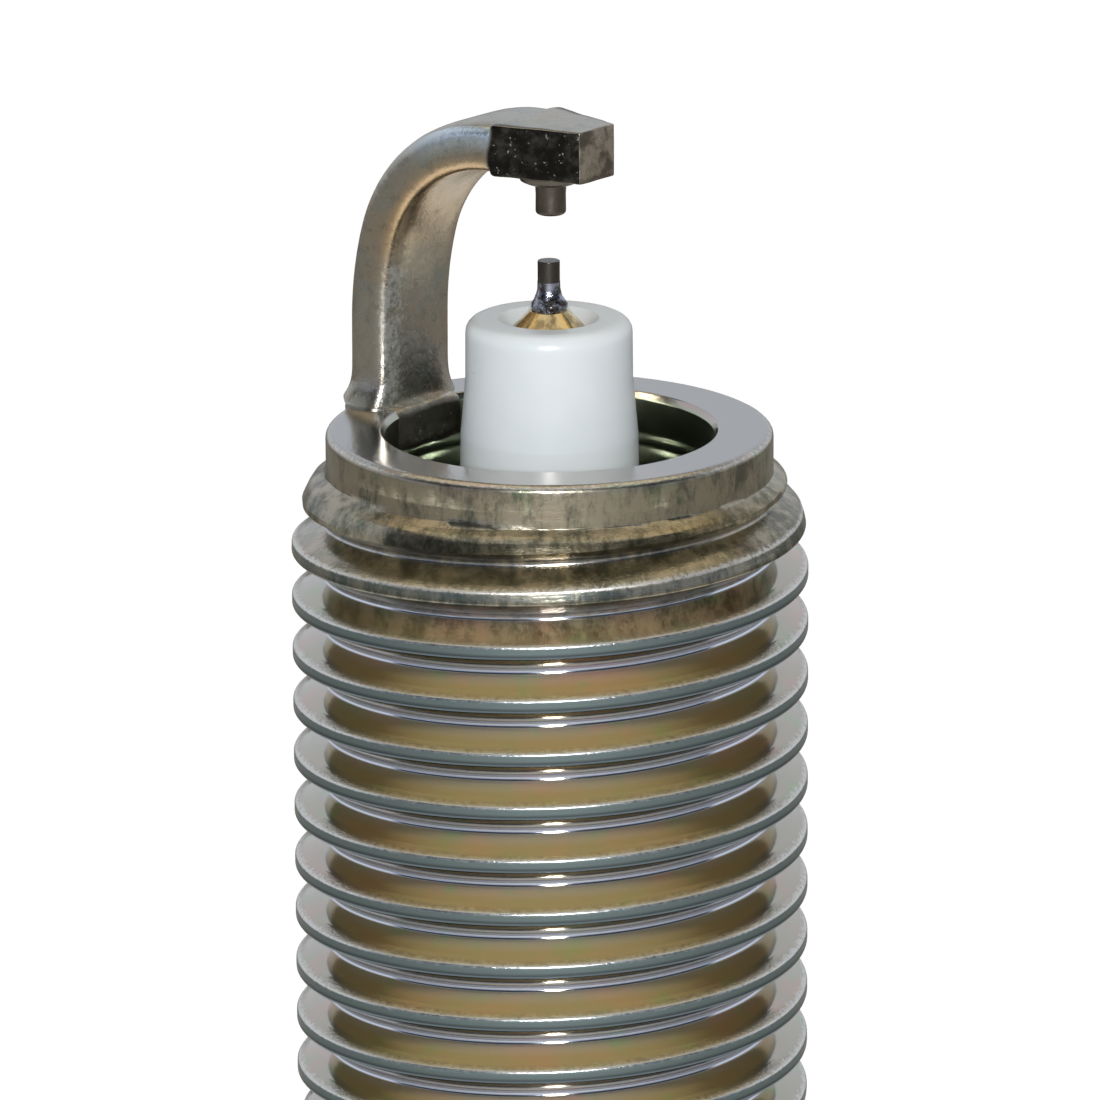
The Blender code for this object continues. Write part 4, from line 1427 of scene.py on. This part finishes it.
@dataclass
class Insides:
    """The solids sealed inside the plug, which keep their own meshes."""

    finishes: dict[str, Finish] = field(default_factory=lambda: {
        "centre_electrode_core": COPPER, "lower_glass_seal": GLASS_SEAL, "resistor": RESISTOR,
        "upper_glass_seal": GLASS_SEAL, "inner_seat_washer": STEEL, "lower_packing_ring": STEEL,
        "upper_packing_ring": STEEL, "talc_seal": TALC})

    def dress(self) -> None:
        """Give each solid its finish."""
        for node, finish in self.finishes.items():
            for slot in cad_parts[node].material_slots:
                slot.link = "OBJECT"
                slot.material = finish.material()
            log.info("%s dressed as %s", node, finish.name)


# ---------------------------------------------------------------- studio

@dataclass
class Studio:
    """A pale floor, one soft light, a bright tent round the plug and the camera."""

    azimuth: float = 40.0
    elevation: float = 14.945
    distance: float = 218.3
    lens: float = 312.84
    aim_below_rim: float = 2.9
    roll: float = -0.26
    floor_half: float = 3.0
    floor_white: Colour = (0.92, 0.92, 0.92)
    floor_glow: Colour = (0.55, 0.55, 0.57)
    floor_grey: Colour = (0.42, 0.42, 0.40)
    # Painted pool of light that the floor emits under the plug, for reflections.
    painted_light_pool: Colour = (0.68, 0.70, 0.70)
    back_low: Colour = (0.60, 0.64, 0.70)
    back_ring: Colour = (0.03, 0.03, 0.03)
    back_top: Colour = (0.80, 0.70, 0.52)
    front_low: Colour = (0.50, 0.56, 0.72)
    front_dim: Colour = (0.045, 0.055, 0.06)
    front_top: Colour = (0.70, 0.70, 0.68)
    key_elevation: float = 18.0
    key_distance: float = 0.6
    key_size: tuple[float, float] = (0.085, 0.08)
    key_power: float = 2.6

    def direction(self, azimuth: float, elevation: float) -> Vector:
        """Unit vector from the plug towards a place at that azimuth and elevation in degrees."""
        a, e = math.radians(azimuth), math.radians(elevation)
        return Vector((math.sin(a) * math.cos(e), -math.cos(a) * math.cos(e), math.sin(e)))

    def camera(self) -> bpy.types.Object:
        """The camera, level with a view slightly down on the rim.

        Returns:
            The scene's camera.
        """
        data = bpy.data.cameras.new("camera")
        data.lens = self.lens
        data.sensor_width = 36.0
        data.clip_start, data.clip_end = 0.01, 20.0
        obj = bpy.data.objects.new("camera", data)
        bpy.context.scene.collection.objects.link(obj)
        rim = Vector((0.0, 0.0, RIM * MM))
        obj.location = rim + self.direction(self.azimuth, self.elevation) * self.distance * MM
        target = Vector((0.0, 0.0, (RIM - self.aim_below_rim) * MM))
        turn = (target - obj.location).to_track_quat("-Z", "Y")
        obj.rotation_mode = "QUATERNION"
        obj.rotation_quaternion = turn @ Matrix.Rotation(
            math.radians(self.roll), 3, "Z").to_quaternion()
        bpy.context.scene.camera = obj
        return obj

    def floor(self) -> bpy.types.Object:
        """A plain pale floor, low enough for the nut to be unscrewed over it.

        Reflections see it grey, with a painted pool of light under the plug that the floor emits,
        as a light tent would give.

        Returns:
            The floor.
        """
        data = bpy.data.meshes.new("floor")
        half, z = self.floor_half, Place.FLOOR.value * MM
        data.from_pydata([(-half, -half, z), (half, -half, z), (half, half, z), (-half, half, z)],
                         [], [(0, 1, 2, 3)])
        material = bpy.data.materials.new("floor_paint")
        material.use_nodes = True
        tree = Tree(material.node_tree)
        shader = material.node_tree.nodes["Principled BSDF"]
        seen = tree.add("ShaderNodeLightPath").outputs["Is Camera Ray"]
        away = tree.add("ShaderNodeVectorMath", {0: tree.position()}, operation="LENGTH").outputs[1]
        near = tree.ramp(away, 0.09, 0.17, 1.0, 0.0)
        paint = tree.mix(seen, self.floor_grey, self.floor_white)
        # A painted pool of light round the plug, emitted for all but camera rays.
        pool = tree.mix(near, (0.0, 0.0, 0.0), self.painted_light_pool)
        glow = tree.mix(seen, pool, self.floor_glow)
        material.node_tree.links.new(paint, shader.inputs["Base Color"])
        material.node_tree.links.new(glow, shader.inputs["Emission Color"])
        shader.inputs["Emission Strength"].default_value = 1.0
        shader.inputs["Roughness"].default_value = 0.9
        shader.inputs["Specular IOR Level"].default_value = 0.1
        data.materials.append(material)
        obj = bpy.data.objects.new("floor", data)
        bpy.context.scene.collection.objects.link(obj)
        return obj

    def key_light(self) -> bpy.types.Object:
        """One soft light on the camera's side, a little above it, facing the firing end.

        Returns:
            The light.
        """
        data = bpy.data.lights.new("front_key", "AREA")
        data.shape = "RECTANGLE"
        data.size, data.size_y = self.key_size
        data.energy = self.key_power
        obj = bpy.data.objects.new("front_key", data)
        bpy.context.scene.collection.objects.link(obj)
        centre = Vector((0.0, 0.0, 0.010))
        obj.location = centre + self.direction(self.azimuth, self.key_elevation) * self.key_distance
        obj.rotation_mode = "QUATERNION"
        obj.rotation_quaternion = (centre - obj.location).to_track_quat("-Z", "Y")
        return obj

    def tent(self) -> None:
        """A world with a bright back and a dim front, each with its own light overhead.

        The camera sees plain white. Other rays see the back where the direction's share towards
        the front, cos(azimuth from the front) * cos(elevation), is below zero: pale near the
        horizon, a dark ring above and a warm top. In front it is dim over a low bluish strip.
        """
        world = bpy.data.worlds.new("tent")
        bpy.context.scene.world = world
        world.use_nodes = True
        tree = Tree(world.node_tree)
        background = world.node_tree.nodes["Background"]
        direction = tree.add("ShaderNodeTexCoord").outputs["Generated"]
        parts = tree.add("ShaderNodeSeparateXYZ", {0: direction})
        front = self.direction(self.azimuth, 0.0)
        facing = tree.add("ShaderNodeVectorMath", {0: direction, 1: tuple(front)},
                          operation="DOT_PRODUCT").outputs["Value"]
        behind = tree.ramp(facing, 0.06, -0.02)
        height = parts.outputs["Z"]
        ring = tree.ramp(height, 0.60, 0.67)
        back = tree.mix(ring, self.back_low, self.back_ring)
        back = tree.mix(tree.ramp(height, 0.69, 0.78), back, self.back_top)
        strip = tree.ramp(height, 0.17, 0.10)
        ahead = tree.mix(strip, self.front_dim, self.front_low)
        ahead = tree.mix(tree.ramp(height, 0.72, 0.86), ahead, self.front_top)
        seen = tree.mix(behind, ahead, back)
        straight = tree.add("ShaderNodeLightPath").outputs["Is Camera Ray"]
        colour = tree.mix(straight, seen, (1.0, 1.0, 1.0))
        world.node_tree.links.new(colour, background.inputs["Color"])
        background.inputs["Strength"].default_value = 1.0

    def build(self) -> None:
        """Set up everything around the plug."""
        self.camera()
        self.floor()
        self.tent()
        self.key_light()
        bpy.context.scene.view_settings.view_transform = "Standard"


def main() -> None:
    """Build the plug's looks and its studio, in order."""
    logging.basicConfig(level=logging.INFO, format="%(name)s: %(message)s")
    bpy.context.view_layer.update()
    Studio().build()
    for maker in (Shell(), Gasket(), Insulator(), CentreElectrode(), GroundElectrode(), Terminal()):
        maker.build()
    Insides().dress()


if __name__ == "__main__":
    main()
